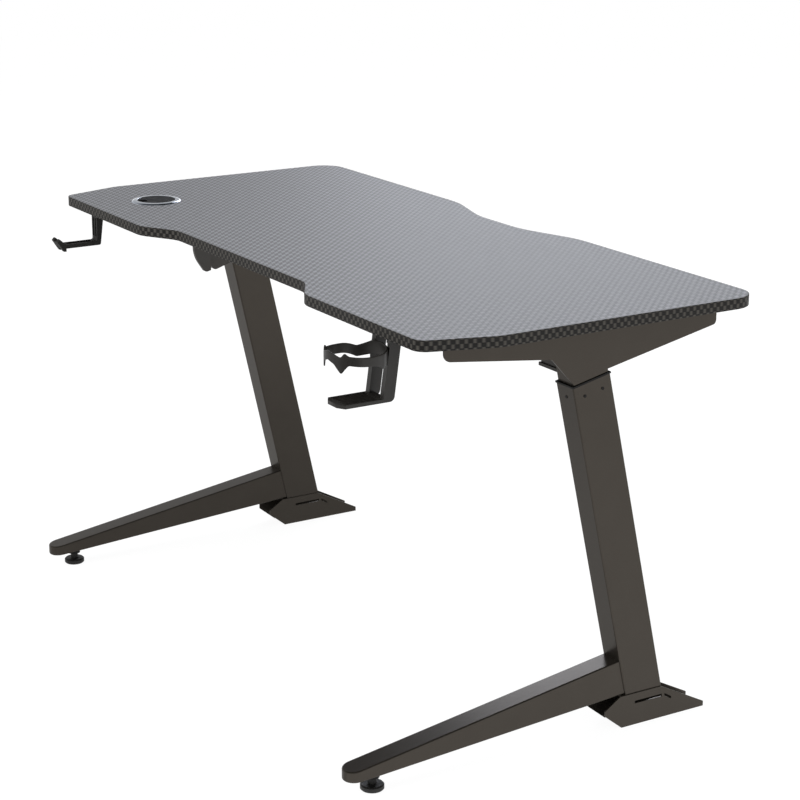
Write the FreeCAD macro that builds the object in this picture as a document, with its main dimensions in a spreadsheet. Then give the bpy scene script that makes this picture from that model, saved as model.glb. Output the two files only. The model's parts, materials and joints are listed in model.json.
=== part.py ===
import FreeCAD, Part
import math
import operator
import os

import Sketcher

# Height-adjustable gaming desk on two leaning telescopic legs.
# Frame: +X to the user's right, +Y to the back, +Z up, floor at z = 0.
# Side-view outlines are drawn from the desktop's middle; every node is then moved back by depth_shift,
# so that the origin lies under the middle of the whole desk's box.

doc = FreeCAD.newDocument("gaming_desk")
sheet = doc.addObject("Spreadsheet::Sheet", "Sizes")

SIZES = {
    # Desktop
    "top_width": 1400.0,
    "top_depth": 626.5,
    "top_height": 743.0,
    "top_thickness": 18.0,
    "band_thickness": 1.2,
    "front_recess_depth": 41.8,
    "front_recess_half": 242.0,
    "front_recess_run": 72.0,
    "front_recess_round": 60.0,
    "back_recess_depth": 37.8,
    "back_recess_half": 70.0,
    "back_recess_run": 127.0,
    "back_recess_round": 200.0,
    "front_corner_trim": 38.1,
    "front_corner_length": 121.9,
    "front_corner_round": 24.0,
    "end_bend_round": 60.0,
    "back_corner_round": 48.0,
    # Cable grommet
    "grommet_end_gap": 180.0,
    "grommet_front_gap": 130.25,
    "grommet_rim": 48.0,
    "grommet_rim_height": 3.0,
    "grommet_sleeve": 40.0,
    "grommet_sleeve_depth": 14.0,
    "grommet_wall": 3.0,
    "grommet_ledge": 3.0,
    "grommet_cap_thickness": 4.0,
    "grommet_slot_radius": 9.0,
    "grommet_slot_reach": 8.0,
    "fit_clearance": 0.3,
    # Legs: both columns lean forward going up
    "leg_inset": 103.0,
    "lean": 12.57,
    "column_front": 138.5,
    "column_width": 47.5,
    "column_depth": 74.6,
    "column_wall": 1.5,
    "column_round": 3.0,
    "column_bottom": 60.5,
    "mouth_drop": 113.0,
    "sleeve_thickness": 1.5,
    "sleeve_length": 90.0,
    "sleeve_lip": 3.0,
    "sleeve_lip_proud": 0.6,
    "slide_gap": 0.3,
    "inner_bottom": 130.0,
    "inner_wall": 1.5,
    "neck_gap": 1.5,
    # Lifting spindle inside each column
    "spindle_radius": 6.0,
    "spindle_bottom": 150.0,
    "spindle_head_radius": 12.0,
    "spindle_head_height": 8.0,
    "bearing_gap": 5.0,
    "bearing_height": 16.0,
    "bearing_clearance": 0.1,
    "lift_tube_radius": 11.0,
    "lift_tube_wall": 2.5,
    "lift_tube_drop": 67.0,
    "lift_nut_height": 20.0,
    # Brackets under the desktop
    "bracket_sheet": 2.5,
    "bracket_front_gap": 72.45,
    "bracket_front_depth": 34.8,
    "bracket_front_round": 14.0,
    "bracket_knee_run": 16.65,
    "bracket_knee_depth": 59.2,
    "bracket_knee_round": 12.0,
    "bracket_rear_gap": 24.75,
    "bracket_rear_depth": 43.7,
    "bracket_rear_round": 8.0,
    "bracket_neck_rise": 23.8,
    "flange_width": 46.0,
    "flange_inset": 5.0,
    "rail_width": 40.0,
    "rail_height": 20.0,
    "rail_wall": 2.0,
    "front_rail_set": 86.842,
    "rear_rail_gap": 78.5,
    "rail_screw_gap": 16.481,
    # Drive
    "gearbox_reach": 55.5,
    "gearbox_set": 27.2,
    "gearbox_depth": 62.0,
    "gearbox_plate": 6.0,
    "gearbox_groove": 3.0,
    "gearbox_groove_depth": 3.0,
    "gearbox_foot_depth": 52.0,
    "gearbox_rise": 16.0,
    "shaft_radius": 4.6,
    "shaft_entry": 15.0,
    "shaft_drop": 43.0,
    "motor_reach": 108.0,
    "motor_shoulder": 107.0,
    "motor_shoulder_drop": 103.0,
    "motor_toe": 84.0,
    "motor_toe_drop": 138.0,
    "motor_heel_drop": 118.0,
    "motor_top_drop": 23.0,
    "motor_shoulder_round": 60.0,
    "motor_toe_round": 9.0,
    "motor_step_run": 71.0,
    "motor_step": 8.0,
    "motor_back_set": 24.0,
    "motor_side_gap": 1.5,
    "motor_radius": 15.0,
    "motor_rise": 13.0,
    "motor_length": 62.0,
    "motor_set": 47.0,
    # Feet
    "foot_overhang": 94.75,
    "foot_width": 42.0,
    "foot_wall": 2.0,
    "foot_tip_round": 20.5,
    "foot_edge_round": 2.5,
    "foot_top_middle": 105.1,
    "foot_top_slope": 0.1487,
    "foot_bottom_middle": 51.1,
    "foot_bottom_slope": 0.062,
    "foot_end_wall": 14.0,
    # Levelling glides
    "glide_set": 52.0,
    "glide_pad_radius": 19.5,
    "glide_pad_height": 10.0,
    "glide_pad_chamfer": 2.0,
    "glide_stud_radius": 5.0,
    "glide_stud_proud": 2.0,
    "glide_collar_radius": 7.0,
    "insert_radius": 9.0,
    "insert_stand": 8.0,
    "insert_depth": 15.0,
    "insert_nut_radius": 12.0,
    "insert_nut_gap": 1.4,
    # Heel bases
    "heel_width": 50.0,
    "heel_sheet": 2.5,
    "heel_top": 57.5,
    "heel_top_front": 113.7,
    "heel_top_rear": 200.5,
    "heel_nose_y": 83.0,
    "heel_nose_low": 28.5,
    "heel_nose_high": 37.7,
    "heel_floor_front": 118.4,
    "heel_rear": 293.6,
    "heel_rear_height": 8.7,
    "heel_flange": 12.0,
    "heel_web_inset": 4.0,
    "heel_slot_start": 145.0,
    "heel_slot_end": 202.0,
    "heel_slot_z": 41.0,
    "heel_slot_width": 4.5,
    "heel_slash_y": 208.0,
    "heel_slash_run": 14.5,
    "heel_slash_drop": 9.0,
    "plate_inset": 0.8,
    # Fasteners
    "bolt_radius": 4.0,
    "bolt_head_radius": 6.5,
    "bolt_head_height": 5.0,
    "bolt_clearance": 0.2,
    "heel_bolt_spread": 23.5,
    "heel_bolt_length": 16.0,
    "foot_bolt_low": 75.0,
    "foot_bolt_high": 108.0,
    "foot_bolt_length": 13.0,
    "screw_radius": 2.0,
    "screw_head_radius": 4.5,
    "screw_head_height": 2.5,
    "screw_bite": 12.0,
    "screw_hole_extra": 1.5,
    "guide_screw_radius": 1.5,
    "guide_screw_head": 2.6,
    "guide_screw_proud": 0.8,
    "guide_screw_drop": 19.5,
    "guide_screw_spread": 17.7,
    # Control box and hand switch
    "control_width": 200.0,
    "control_depth": 60.0,
    "control_height": 32.0,
    "control_ear": 14.0,
    "control_ear_thickness": 3.0,
    "switch_end_gap": 270.0,
    "switch_setback": 51.25,
    "switch_width": 90.0,
    "switch_depth": 40.0,
    "switch_height": 20.0,
    "button_width": 22.0,
    "button_height": 10.0,
    "button_spread": 17.0,
    "button_proud": 2.0,
    "button_socket": 8.0,
    "button_travel_room": 2.0,
    # Headphone hook
    "edge_setback": 10.25,
    "hook_end_gap": 151.0,
    "hook_width": 24.0,
    "hook_arm_depth": 15.0,
    "hook_lean": 8.0,
    "hook_drop": 60.0,
    "hook_arm_height": 8.0,
    "hook_rest": 66.0,
    "hook_tip_run": 18.0,
    "hook_tip_rise": 12.0,
    "hook_tip_drop": 5.0,
    "hook_tip_thickness": 5.0,
    "hook_tip_width": 30.0,
    "hook_notch_radius": 6.0,
    "hook_round": 4.0,
    "hook_groove_width": 5.0,
    "hook_groove_depth": 7.0,
    "hook_groove_spread": 5.0,
    "hook_groove_margin": 8.0,
    "hook_channel_width": 14.0,
    "hook_channel_depth": 3.0,
    "lug_depth": 34.0,
    "lug_thickness": 3.0,
    # Cup holder
    "cup_end_gap": 159.0,
    "cup_width": 54.0,
    "cup_arm_depth": 20.0,
    "cup_arm_thickness": 11.0,
    "cup_lean": 14.0,
    "cup_drop": 100.5,
    "cup_shelf_thickness": 6.0,
    "cup_shelf_length": 80.0,
    "cup_shelf_bulge": 8.0,
    "cup_arm_round": 9.0,
    "cup_rim_width": 3.0,
    "cup_rim_height": 2.0,
    "cup_ring_radius": 49.0,
    "cup_ring_wall": 2.5,
    "cup_ring_drop": 33.0,
    "cup_ring_height": 16.0,
    "cup_ring_set": 46.0,
}


class Size:
    """A number that also carries the sheet expression that it comes from."""

    def __init__(self, value, text):
        self.value = value
        self.text = text

    def __add__(self, other):
        return combine(self, other, "+", operator.add)

    def __radd__(self, other):
        return combine(other, self, "+", operator.add)

    def __sub__(self, other):
        return combine(self, other, "-", operator.sub)

    def __rsub__(self, other):
        return combine(other, self, "-", operator.sub)

    def __mul__(self, other):
        return combine(self, other, "*", operator.mul)

    def __rmul__(self, other):
        return combine(other, self, "*", operator.mul)

    def __truediv__(self, other):
        return combine(self, other, "/", operator.truediv)

    def __rtruediv__(self, other):
        return combine(other, self, "/", operator.truediv)

    def __neg__(self):
        return combine(0, self, "-", operator.sub)


def term(amount):
    """Give a plain number or a Size as a Size."""
    return amount if isinstance(amount, Size) else Size(float(amount), repr(float(amount)))


def combine(left, right, sign, action):
    """Join two amounts in value and in expression text."""
    left, right = term(left), term(right)
    return Size(action(left.value, right.value), f"({left.text} {sign} {right.text})")


class Dimensions:
    """The sheet's cells by name."""


dim = Dimensions()
for row, (alias, number) in enumerate(SIZES.items(), start=1):
    sheet.set(f"A{row}", alias.replace("_", " "))
    sheet.set(f"B{row}", str(number))
    sheet.setAlias(f"B{row}", alias)
    setattr(dim, alias, Size(number, f"Sizes.{alias}"))
doc.recompute()

SIDES = {"left": -1, "right": 1}
# Cup ring's edges seen from the front: shares of its radius across, and of its height from its middle
FRONT_SHARES = (
    (-1.0, -0.56), (-0.74, -0.34), (-0.545, -1.25), (-0.3, -0.36), (0.0, -0.06), (0.3, -0.36), (0.545, -1.25),
    (0.74, -0.34), (1.0, -0.5), (1.0, 0.44), (0.74, 0.56), (0.64, 0.88), (0.53, 0.38), (0.25, 0.7),
    (0.0, 0.81), (-0.25, 0.7), (-0.53, 0.38), (-0.64, 0.88), (-0.74, 0.56), (-1.0, 0.44))
BACK_SHARES = (
    (-1.0, -0.56), (-0.86, -1.0), (-0.44, -0.56), (0.0, -0.62), (0.5, -0.81), (0.86, -1.06), (1.0, -0.5),
    (1.0, 0.44), (0.5, 0.62), (0.0, 0.75), (-0.44, 0.81), (-0.86, 0.12), (-1.0, 0.44))
X_AXIS = FreeCAD.Vector(1, 0, 0)
Y_AXIS = FreeCAD.Vector(0, 1, 0)
NORMALS = {"YZ_Plane": X_AXIS, "XZ_Plane": Y_AXIS, "XY_Plane": FreeCAD.Vector(0, 0, 1)}
HEXAGON = (0, 60, 120, 180, 240, 300)
TOLERANCE = 0.001
OVERSHOOT = 60.0

cos_lean = Size(math.cos(math.radians(dim.lean.value)), "cos(Sizes.lean)")
sin_lean = Size(math.sin(math.radians(dim.lean.value)), "sin(Sizes.lean)")
tan_lean = Size(math.tan(math.radians(dim.lean.value)), "tan(Sizes.lean)")
half_width = dim.top_width / 2
half_depth = dim.top_depth / 2
underside = dim.top_height - dim.top_thickness
mouth_z = underside - dim.mouth_drop
leg_x = half_width - dim.leg_inset
column_length = mouth_z / cos_lean
neck_y = dim.column_front - underside * tan_lean
bracket_front = dim.bracket_front_gap - half_depth
bracket_rear = half_depth - dim.bracket_rear_gap
front_rail_y = neck_y - dim.front_rail_set
rear_rail_y = bracket_rear - dim.rear_rail_gap
gearbox_front = neck_y + dim.gearbox_set
gearbox_bottom = mouth_z + dim.gearbox_rise
shaft_y = gearbox_front + dim.gearbox_depth / 2
shaft_z = underside - dim.shaft_drop
foot_front = -half_depth - dim.foot_overhang
glide_y = foot_front + dim.glide_set
grommet_x = dim.grommet_end_gap - half_width
grommet_y = dim.grommet_front_gap - half_depth
accessory_front = dim.edge_setback - half_depth
hook_x = dim.hook_end_gap - half_width
cup_x = half_width - dim.cup_end_gap
depth_shift = -(foot_front + half_depth) / 2
placed = {}
nodes = {}


# Building blocks

def bind(item, path, amount):
    """Drive one property by the sheet."""
    item.setExpression(path, term(amount).text)


def place(item, x=0, y=0, z=0):
    """Put an object's origin at a point."""
    placed[item.Name] = (x, y, z)
    for axis, amount in zip("xyz", (x, y, z)):
        bind(item, f"Placement.Base.{axis}", amount)


def aim(item, axis, angle):
    """Turn an object about an axis through its own origin."""
    item.Placement = FreeCAD.Placement(item.Placement.Base, FreeCAD.Rotation(axis, 1))
    bind(item, "Placement.Rotation.Angle", angle)


def node(label, item):
    """Name a finished piece and move it into the desk's own frame."""
    item.Label = label
    x, y, z = placed.get(item.Name, (0, 0, 0))
    place(item, x, y + depth_shift, z)
    nodes[label] = item


def box(name, x, y, z):
    """A block between pairs of coordinates."""
    item = doc.addObject("Part::Box", name)
    for path, (low, high) in zip(("Length", "Width", "Height"), (x, y, z)):
        bind(item, path, high - low)
    place(item, x[0], y[0], z[0])
    return item


def rod(name, radius, length, at, axis=None, angle=0):
    """A cylinder that starts at a point and runs along +Z, turned about an axis."""
    item = doc.addObject("Part::Cylinder", name)
    bind(item, "Radius", radius)
    bind(item, "Height", length)
    if axis:
        aim(item, axis, angle)
    place(item, *at)
    return item


def fuse(name, items):
    """Join solids into one."""
    joined = doc.addObject("Part::MultiFuse", name)
    joined.Shapes = items
    joined.Refine = True
    return joined


def group(name, items):
    """Keep solids apart in one object."""
    gathered = doc.addObject("Part::Compound", name)
    gathered.Links = items
    return gathered


def cut(name, base, tools):
    """Take tools away from a base."""
    result = doc.addObject("Part::Cut", name)
    result.Base = base
    result.Tool = tools[0] if len(tools) == 1 else group(f"{name}_tools", tools)
    return result


def common(name, items):
    """Keep what two solids share."""
    result = doc.addObject("Part::MultiCommon", name)
    result.Shapes = items
    return result


def new_sketch(body, plane):
    """Start a sketch on one of a body's own origin planes."""
    sketch = body.newObject("Sketcher::SketchObject", f"{body.Name}_outline")
    support = [feature for feature in body.Origin.OriginFeatures if feature.Role == plane][0]
    sketch.AttachmentSupport = (support, [""])
    sketch.MapMode = "FlatFace"
    return sketch


def draw(sketch, outline):
    """Draw a closed outline with every corner tied to the sheet."""
    corners = [(term(across), term(up)) for across, up in outline]
    points = [FreeCAD.Vector(across.value, up.value, 0) for across, up in corners]
    for start, end in zip(points, points[1:] + points[:1]):
        sketch.addGeometry(Part.LineSegment(start, end))
    for index in range(len(points)):
        follower = (index + 1) % len(points)
        sketch.addConstraint(Sketcher.Constraint("Coincident", index, 2, follower, 1))
    for index, corner in enumerate(corners):
        for kind, amount in zip(("DistanceX", "DistanceY"), corner):
            number = sketch.addConstraint(Sketcher.Constraint(kind, -1, 1, index, 1, amount.value))
            sketch.setExpression(f"Constraints[{number}]", amount.text)


def corner_edges(shape, spots, normal):
    """Name the edges along a direction that pass through given points."""
    names = []
    for number, edge in enumerate(shape.Edges, start=1):
        ends = [vertex.Point for vertex in edge.Vertexes]
        if len(ends) < 2 or (ends[1] - ends[0]).cross(normal).Length > TOLERANCE:
            continue
        if any((ends[0] - spot).cross(normal).Length < TOLERANCE for spot in spots):
            names.append(f"Edge{number}")
    return names


def round_edges(body, names, radius):
    """Round named edges of a body's last feature."""
    previous = body.Tip
    fillet = body.newObject("PartDesign::Fillet", f"{body.Name}_round")
    fillet.Base = (previous, names)
    bind(fillet, "Radius", radius)
    body.Tip = fillet
    doc.recompute()


def profile(name, outline, reach, plane="YZ_Plane", rounds=()):
    """Pad an outline along its plane's normal; rounds are (radius, corner numbers)."""
    body = doc.addObject("PartDesign::Body", name)
    sketch = new_sketch(body, plane)
    draw(sketch, outline)
    pad = body.newObject("PartDesign::Pad", f"{name}_pad")
    pad.Profile = sketch
    bind(pad, "Length", reach[1] - reach[0])
    doc.recompute()
    for radius, corners in rounds:
        spots = []
        for corner in corners:
            across, up = (term(amount).value for amount in outline[corner])
            on_side = plane == "YZ_Plane"
            spots.append(FreeCAD.Vector(0, across, up) if on_side else FreeCAD.Vector(across, up, 0))
        round_edges(body, corner_edges(body.Tip.Shape, spots, NORMALS[plane]), radius)
    starts = {"YZ_Plane": (reach[0], 0, 0), "XZ_Plane": (0, reach[1], 0), "XY_Plane": (0, 0, reach[0])}
    place(body, *starts[plane])
    return body


def turned(name, outline, at, axis=None, angle=0):
    """Revolve an outline of (radius, height) about its own Z."""
    body = doc.addObject("PartDesign::Body", name)
    sketch = new_sketch(body, "XZ_Plane")
    draw(sketch, outline)
    turn = body.newObject("PartDesign::Revolution", f"{name}_turn")
    turn.Profile = sketch
    turn.ReferenceAxis = (sketch, ["V_Axis"])
    turn.Angle = 360
    if axis:
        aim(body, axis, angle)
    place(body, *at)
    return body


def fastener(name, radius, length, head_radius, head_height, at, axis=None, angle=0):
    """A screw whose head bears at a point and whose shank runs on along its direction."""
    outline = [
        (0, -head_height),
        (head_radius, -head_height),
        (head_radius, 0),
        (radius, 0),
        (radius, length),
        (0, length)]
    return turned(name, outline, at, axis, angle)


def board_screws(name, spots, bearing, bite=None):
    """Wood screws driven up into the desktop from a bearing height."""
    length = underside - bearing + (bite or dim.screw_bite)
    items = []
    for number, (x, y) in enumerate(spots):
        board_holes.append((x, y))
        items.append(fastener(f"{name}_{number}", dim.screw_radius, length, dim.screw_head_radius,
                              dim.screw_head_height, (x, y, bearing)))
    node(name, group(name, items))


def across(side, inner, outer):
    """X range of a leg's piece, given as distances outward from the leg's middle."""
    if side > 0:
        return leg_x + inner, leg_x + outer
    return -leg_x - outer, -leg_x - inner


def lean_point(along, back):
    """Side-view point at a distance up the column's front face and behind it."""
    return dim.column_front + back * cos_lean - along * sin_lean, along * cos_lean + back * sin_lean


def lean_line(back, height):
    """Y of a line along the column, behind its front face, at a height."""
    return dim.column_front + back / cos_lean - height * tan_lean


def lean_box(along, back):
    """Side-view outline of a block in the column's leaning directions."""
    return [lean_point(along[0], back[0]), lean_point(along[0], back[1]),
            lean_point(along[1], back[1]), lean_point(along[1], back[0])]


board_holes = []


# Desktop

def rounded_wire(corners):
    """A closed wire of lines and arcs through (x, y, radius) corners."""
    points = [FreeCAD.Vector(x, y, 0) for x, y, radius in corners]
    cuts = []
    for index, (x, y, radius) in enumerate(corners):
        here, last, following = points[index], points[index - 1], points[(index + 1) % len(points)]
        back, ahead = (last - here).normalize(), (following - here).normalize()
        half = back.getAngle(ahead) / 2
        reach = radius / math.tan(half)
        inward = (back + ahead).normalize()
        middle = here + inward * (radius / math.sin(half) - radius)
        cuts.append((here + back * reach, middle, here + ahead * reach))
    edges = []
    for index, (start, middle, end) in enumerate(cuts):
        edges.append(Part.Arc(start, middle, end).toShape())
        edges.append(Part.LineSegment(end, cuts[(index + 1) % len(cuts)][0]).toShape())
    return Part.Wire(edges)


def desktop_face():
    """The desktop's outline: ergonomic recess in front, shallow one behind, trimmed front corners."""
    end, edge = half_width.value, half_depth.value
    trim_y = dim.front_corner_length.value - edge
    front_half, back_half = dim.front_recess_half.value, dim.back_recess_half.value
    front_outer = front_half + dim.front_recess_run.value
    back_outer = back_half + dim.back_recess_run.value
    front_floor = dim.front_recess_depth.value - edge
    back_floor = edge - dim.back_recess_depth.value
    front_round, back_round = dim.front_recess_round.value, dim.back_recess_round.value
    half = [
        (front_half, front_floor, front_round),
        (front_outer, -edge, front_round),
        (end - dim.front_corner_trim.value, -edge, dim.front_corner_round.value),
        (end, trim_y, dim.end_bend_round.value),
        (end, edge, dim.back_corner_round.value),
        (back_outer, edge, back_round),
        (back_half, back_floor, back_round),
    ]
    mirrored = [(-x, y, radius) for x, y, radius in reversed(half)]
    return Part.Face(rounded_wire(half + mirrored))


def shaped(name, shape):
    """Hold a ready shape in the document."""
    item = doc.addObject("Part::Feature", name)
    item.Shape = shape
    return item


def build_desktop():
    """Board and edge band; the board takes the grommet's hole and every screw's pilot hole."""
    face = desktop_face()
    core = Part.Face(face.OuterWire.makeOffset2D(-dim.band_thickness.value))
    thickness = FreeCAD.Vector(0, 0, dim.top_thickness.value)
    band = shaped("edge_band_shape", face.cut(core).extrude(thickness))
    place(band, 0, 0, underside)
    node("desktop_edge_band", band)
    slab = shaped("board_slab", core.extrude(thickness))
    place(slab, 0, 0, underside)
    holes = [rod("grommet_hole", dim.grommet_sleeve + dim.fit_clearance, dim.top_thickness,
                 (grommet_x, grommet_y, underside))]
    for number, (x, y) in enumerate(board_holes):
        holes.append(rod(f"pilot_hole_{number}", dim.screw_radius + dim.bolt_clearance,
                         dim.screw_bite + dim.screw_hole_extra, (x, y, underside)))
    node("desktop_board", cut("board", slab, holes))


def build_grommet():
    """Bezel ring with a ledge, and a cap that turns on the ledge and has a cable notch."""
    at = (grommet_x, grommet_y, dim.top_height)
    inner = dim.grommet_sleeve - dim.grommet_wall
    ledge_z = dim.grommet_rim_height - dim.grommet_cap_thickness
    shoulder = dim.grommet_rim_height / 3
    ring = turned("grommet_bezel", [
        (inner, ledge_z),
        (inner - dim.grommet_ledge, ledge_z),
        (inner - dim.grommet_ledge, -dim.grommet_sleeve_depth),
        (dim.grommet_sleeve, -dim.grommet_sleeve_depth),
        (dim.grommet_sleeve, 0),
        (dim.grommet_rim, 0),
        (dim.grommet_rim, shoulder),
        (dim.grommet_rim - shoulder, 2 * shoulder),
        (dim.grommet_rim - 3 * shoulder, dim.grommet_rim_height),
        (inner, dim.grommet_rim_height)], at)
    node("grommet_ring", ring)
    cap_radius = inner - dim.fit_clearance
    disc = turned("grommet_disc", [
        (0, ledge_z),
        (cap_radius, ledge_z),
        (cap_radius, dim.grommet_rim_height),
        (0, dim.grommet_rim_height)], at)
    notch_at = (grommet_x, grommet_y - cap_radius + dim.grommet_slot_reach, dim.top_height - dim.grommet_wall)
    notch = rod("grommet_notch", dim.grommet_slot_radius, 3 * dim.grommet_rim_height, notch_at)
    node("grommet_cap", cut("grommet_lid", disc, [notch]))


# Legs

inner_gap = dim.column_wall + dim.sleeve_thickness + dim.slide_gap
inner_half = dim.column_width / 2 - inner_gap
axis_back = dim.column_depth / 2
neck_along = column_length + dim.sleeve_lip + dim.neck_gap
bearing_bottom = column_length + dim.bearing_gap
lift_tube_top = column_length - dim.lift_tube_drop


def tube(name, side, outer, inner, half_width, wall, rounds=()):
    """A rectangular tube: a padded outline less its bore."""
    whole = profile(f"{name}_outer", outer, across(side, -half_width, half_width), rounds=rounds)
    bore = profile(f"{name}_bore", inner, across(side, wall - half_width, half_width - wall))
    return whole, bore


def build_outer_column(name, side):
    """Outer column: a tube cut level at the bottom and square at the top, with its foot and guide holes."""
    half = dim.column_width / 2
    outline = [
        (lean_line(0, dim.column_bottom), dim.column_bottom),
        (lean_line(dim.column_depth, dim.column_bottom), dim.column_bottom),
        lean_point(column_length, dim.column_depth),
        lean_point(column_length, 0)]
    inside = lean_box((-OVERSHOOT, column_length + OVERSHOOT),
                      (dim.column_wall, dim.column_depth - dim.column_wall))
    whole, bore = tube(f"{name}_column", side, outline, inside, half, dim.column_wall)
    long_edges = []
    for number, edge in enumerate(whole.Tip.Shape.Edges, start=1):
        run = edge.Vertexes[-1].Point - edge.Vertexes[0].Point
        if run.Length > column_length.value / 2:
            long_edges.append(f"Edge{number}")
    round_edges(whole, long_edges, dim.column_round)
    tools = [bore]
    for number, (at, axis, angle) in enumerate(foot_bolt_spots(side)):
        tools.append(rod(f"{name}_foot_bolt_way_{number}", dim.bolt_radius + dim.bolt_clearance,
                         dim.column_wall + OVERSHOOT / 10, at, axis, angle))
    tools += guide_ways(f"{name}_column_guide_way", side)
    node(f"{name}_outer_column", cut(f"{name}_column_tube", whole, tools))


def guide_spots(side):
    """Bearing point and direction of each guide screw on a column's four faces."""
    along = column_length - dim.guide_screw_drop
    spots = []
    for outward in (1, -1):
        x = side * leg_x + outward * (dim.column_width / 2)
        for shift in (1, -1):
            y, z = lean_point(along, axis_back + shift * dim.guide_screw_spread)
            spots.append(((x, y, z), Y_AXIS * -outward, 90))
    front = lean_point(along, 0)
    back = lean_point(along, dim.column_depth)
    spots.append(((side * leg_x, *front), X_AXIS * -1, 90 - dim.lean))
    spots.append(((side * leg_x, *back), X_AXIS, 90 + dim.lean))
    return spots


def guide_ways(name, side):
    """Clearance holes for the guide screws."""
    ways = []
    for number, (at, axis, angle) in enumerate(guide_spots(side)):
        ways.append(rod(f"{name}_{number}", dim.guide_screw_radius + dim.bearing_clearance,
                        dim.column_wall + dim.sleeve_thickness, at, axis, angle))
    return ways


def build_guide_sleeve(name, side):
    """Plastic sleeve in the column's mouth with a lip over its end; the inner column slides in it."""
    half = dim.column_width / 2
    lining_half = half - dim.column_wall
    low = column_length - dim.sleeve_length
    high = column_length + dim.sleeve_lip
    lining = profile(f"{name}_lining", lean_box((low, column_length),
                                                (dim.column_wall, dim.column_depth - dim.column_wall)),
                     across(side, -lining_half, lining_half))
    proud = dim.sleeve_lip_proud
    lip = profile(f"{name}_lip", lean_box((column_length, high), (-proud, dim.column_depth + proud)),
                  across(side, -half - proud, half + proud))
    window = inner_gap - dim.slide_gap
    bore = profile(f"{name}_sleeve_bore", lean_box((low - OVERSHOOT, high + OVERSHOOT),
                                                   (window, dim.column_depth - window)),
                   across(side, window - half, half - window))
    tools = [bore] + guide_ways(f"{name}_sleeve_way", side)
    node(f"{name}_guide_sleeve", cut(f"{name}_sleeve", fuse(f"{name}_sleeve_blank", [lining, lip]), tools))
    screws = []
    for number, (at, axis, angle) in enumerate(guide_spots(side)):
        screws.append(fastener(f"{name}_guide_screw_{number}", dim.guide_screw_radius,
                               dim.column_wall + dim.sleeve_thickness, dim.guide_screw_head,
                               dim.guide_screw_proud, at, axis, angle))
    node(f"{name}_guide_screws", group(f"{name}_guide_screw_set", screws))


def build_inner_column(name, side):
    """Inner column: the tube that slides out, cut level under the bracket's flange."""
    top = underside - dim.bracket_sheet
    front, back = inner_gap, dim.column_depth - inner_gap
    outline = [
        lean_point(dim.inner_bottom, front),
        lean_point(dim.inner_bottom, back),
        (lean_line(back, top), top),
        (lean_line(front, top), top)]
    inside = lean_box((dim.inner_bottom - OVERSHOOT, column_length + 4 * OVERSHOOT),
                      (front + dim.inner_wall, back - dim.inner_wall))
    whole, bore = tube(f"{name}_inner", side, outline, inside, inner_half, dim.inner_wall)
    node(f"{name}_inner_column", cut(f"{name}_inner_tube", whole, [bore]))


def build_spindle(name, side):
    """Bearing block in the inner column, the spindle hung in it, and its nut on a tube from the floor."""
    x = side * leg_x
    block_back = (inner_gap + dim.inner_wall, dim.column_depth - inner_gap - dim.inner_wall)
    block_top = bearing_bottom + dim.bearing_height
    block_half = inner_half - dim.inner_wall
    block = profile(f"{name}_bearing_blank", lean_box((bearing_bottom, block_top), block_back),
                    across(side, -block_half, block_half))
    way = rod(f"{name}_bearing_way", dim.spindle_radius + dim.bearing_clearance,
              dim.bearing_height + OVERSHOOT,
              (x, *lean_point(bearing_bottom - OVERSHOOT / 2, axis_back)), X_AXIS, dim.lean)
    node(f"{name}_bearing_block", cut(f"{name}_bearing", block, [way]))
    length = block_top - dim.spindle_bottom
    spindle = turned(f"{name}_spindle_rod", [
        (0, 0),
        (dim.spindle_radius, 0),
        (dim.spindle_radius, length),
        (dim.spindle_head_radius, length),
        (dim.spindle_head_radius, length + dim.spindle_head_height),
        (0, length + dim.spindle_head_height)],
        (x, *lean_point(dim.spindle_bottom, axis_back)), X_AXIS, dim.lean)
    node(f"{name}_spindle", spindle)
    low = (x, *lean_point(0, axis_back))
    wall_radius = dim.lift_tube_radius - dim.lift_tube_wall
    outer = rod(f"{name}_lift_outer", dim.lift_tube_radius, lift_tube_top, low, X_AXIS, dim.lean)
    inner = rod(f"{name}_lift_inner", wall_radius, lift_tube_top, low, X_AXIS, dim.lean)
    floor = box(f"{name}_lift_floor", (x - OVERSHOOT, x + OVERSHOOT), (term(0), term(5 * OVERSHOOT)),
                (term(-OVERSHOOT), dim.column_bottom))
    node(f"{name}_lift_tube", cut(f"{name}_lift", outer, [inner, floor]))
    nut_at = (x, *lean_point(lift_tube_top, axis_back))
    nut = turned(f"{name}_nut_blank", [
        (dim.spindle_radius + dim.bearing_clearance, 0),
        (dim.lift_tube_radius, 0),
        (dim.lift_tube_radius, dim.lift_nut_height),
        (dim.spindle_radius + dim.bearing_clearance, dim.lift_nut_height)], nut_at, X_AXIS, dim.lean)
    node(f"{name}_lift_nut", nut)


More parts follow.
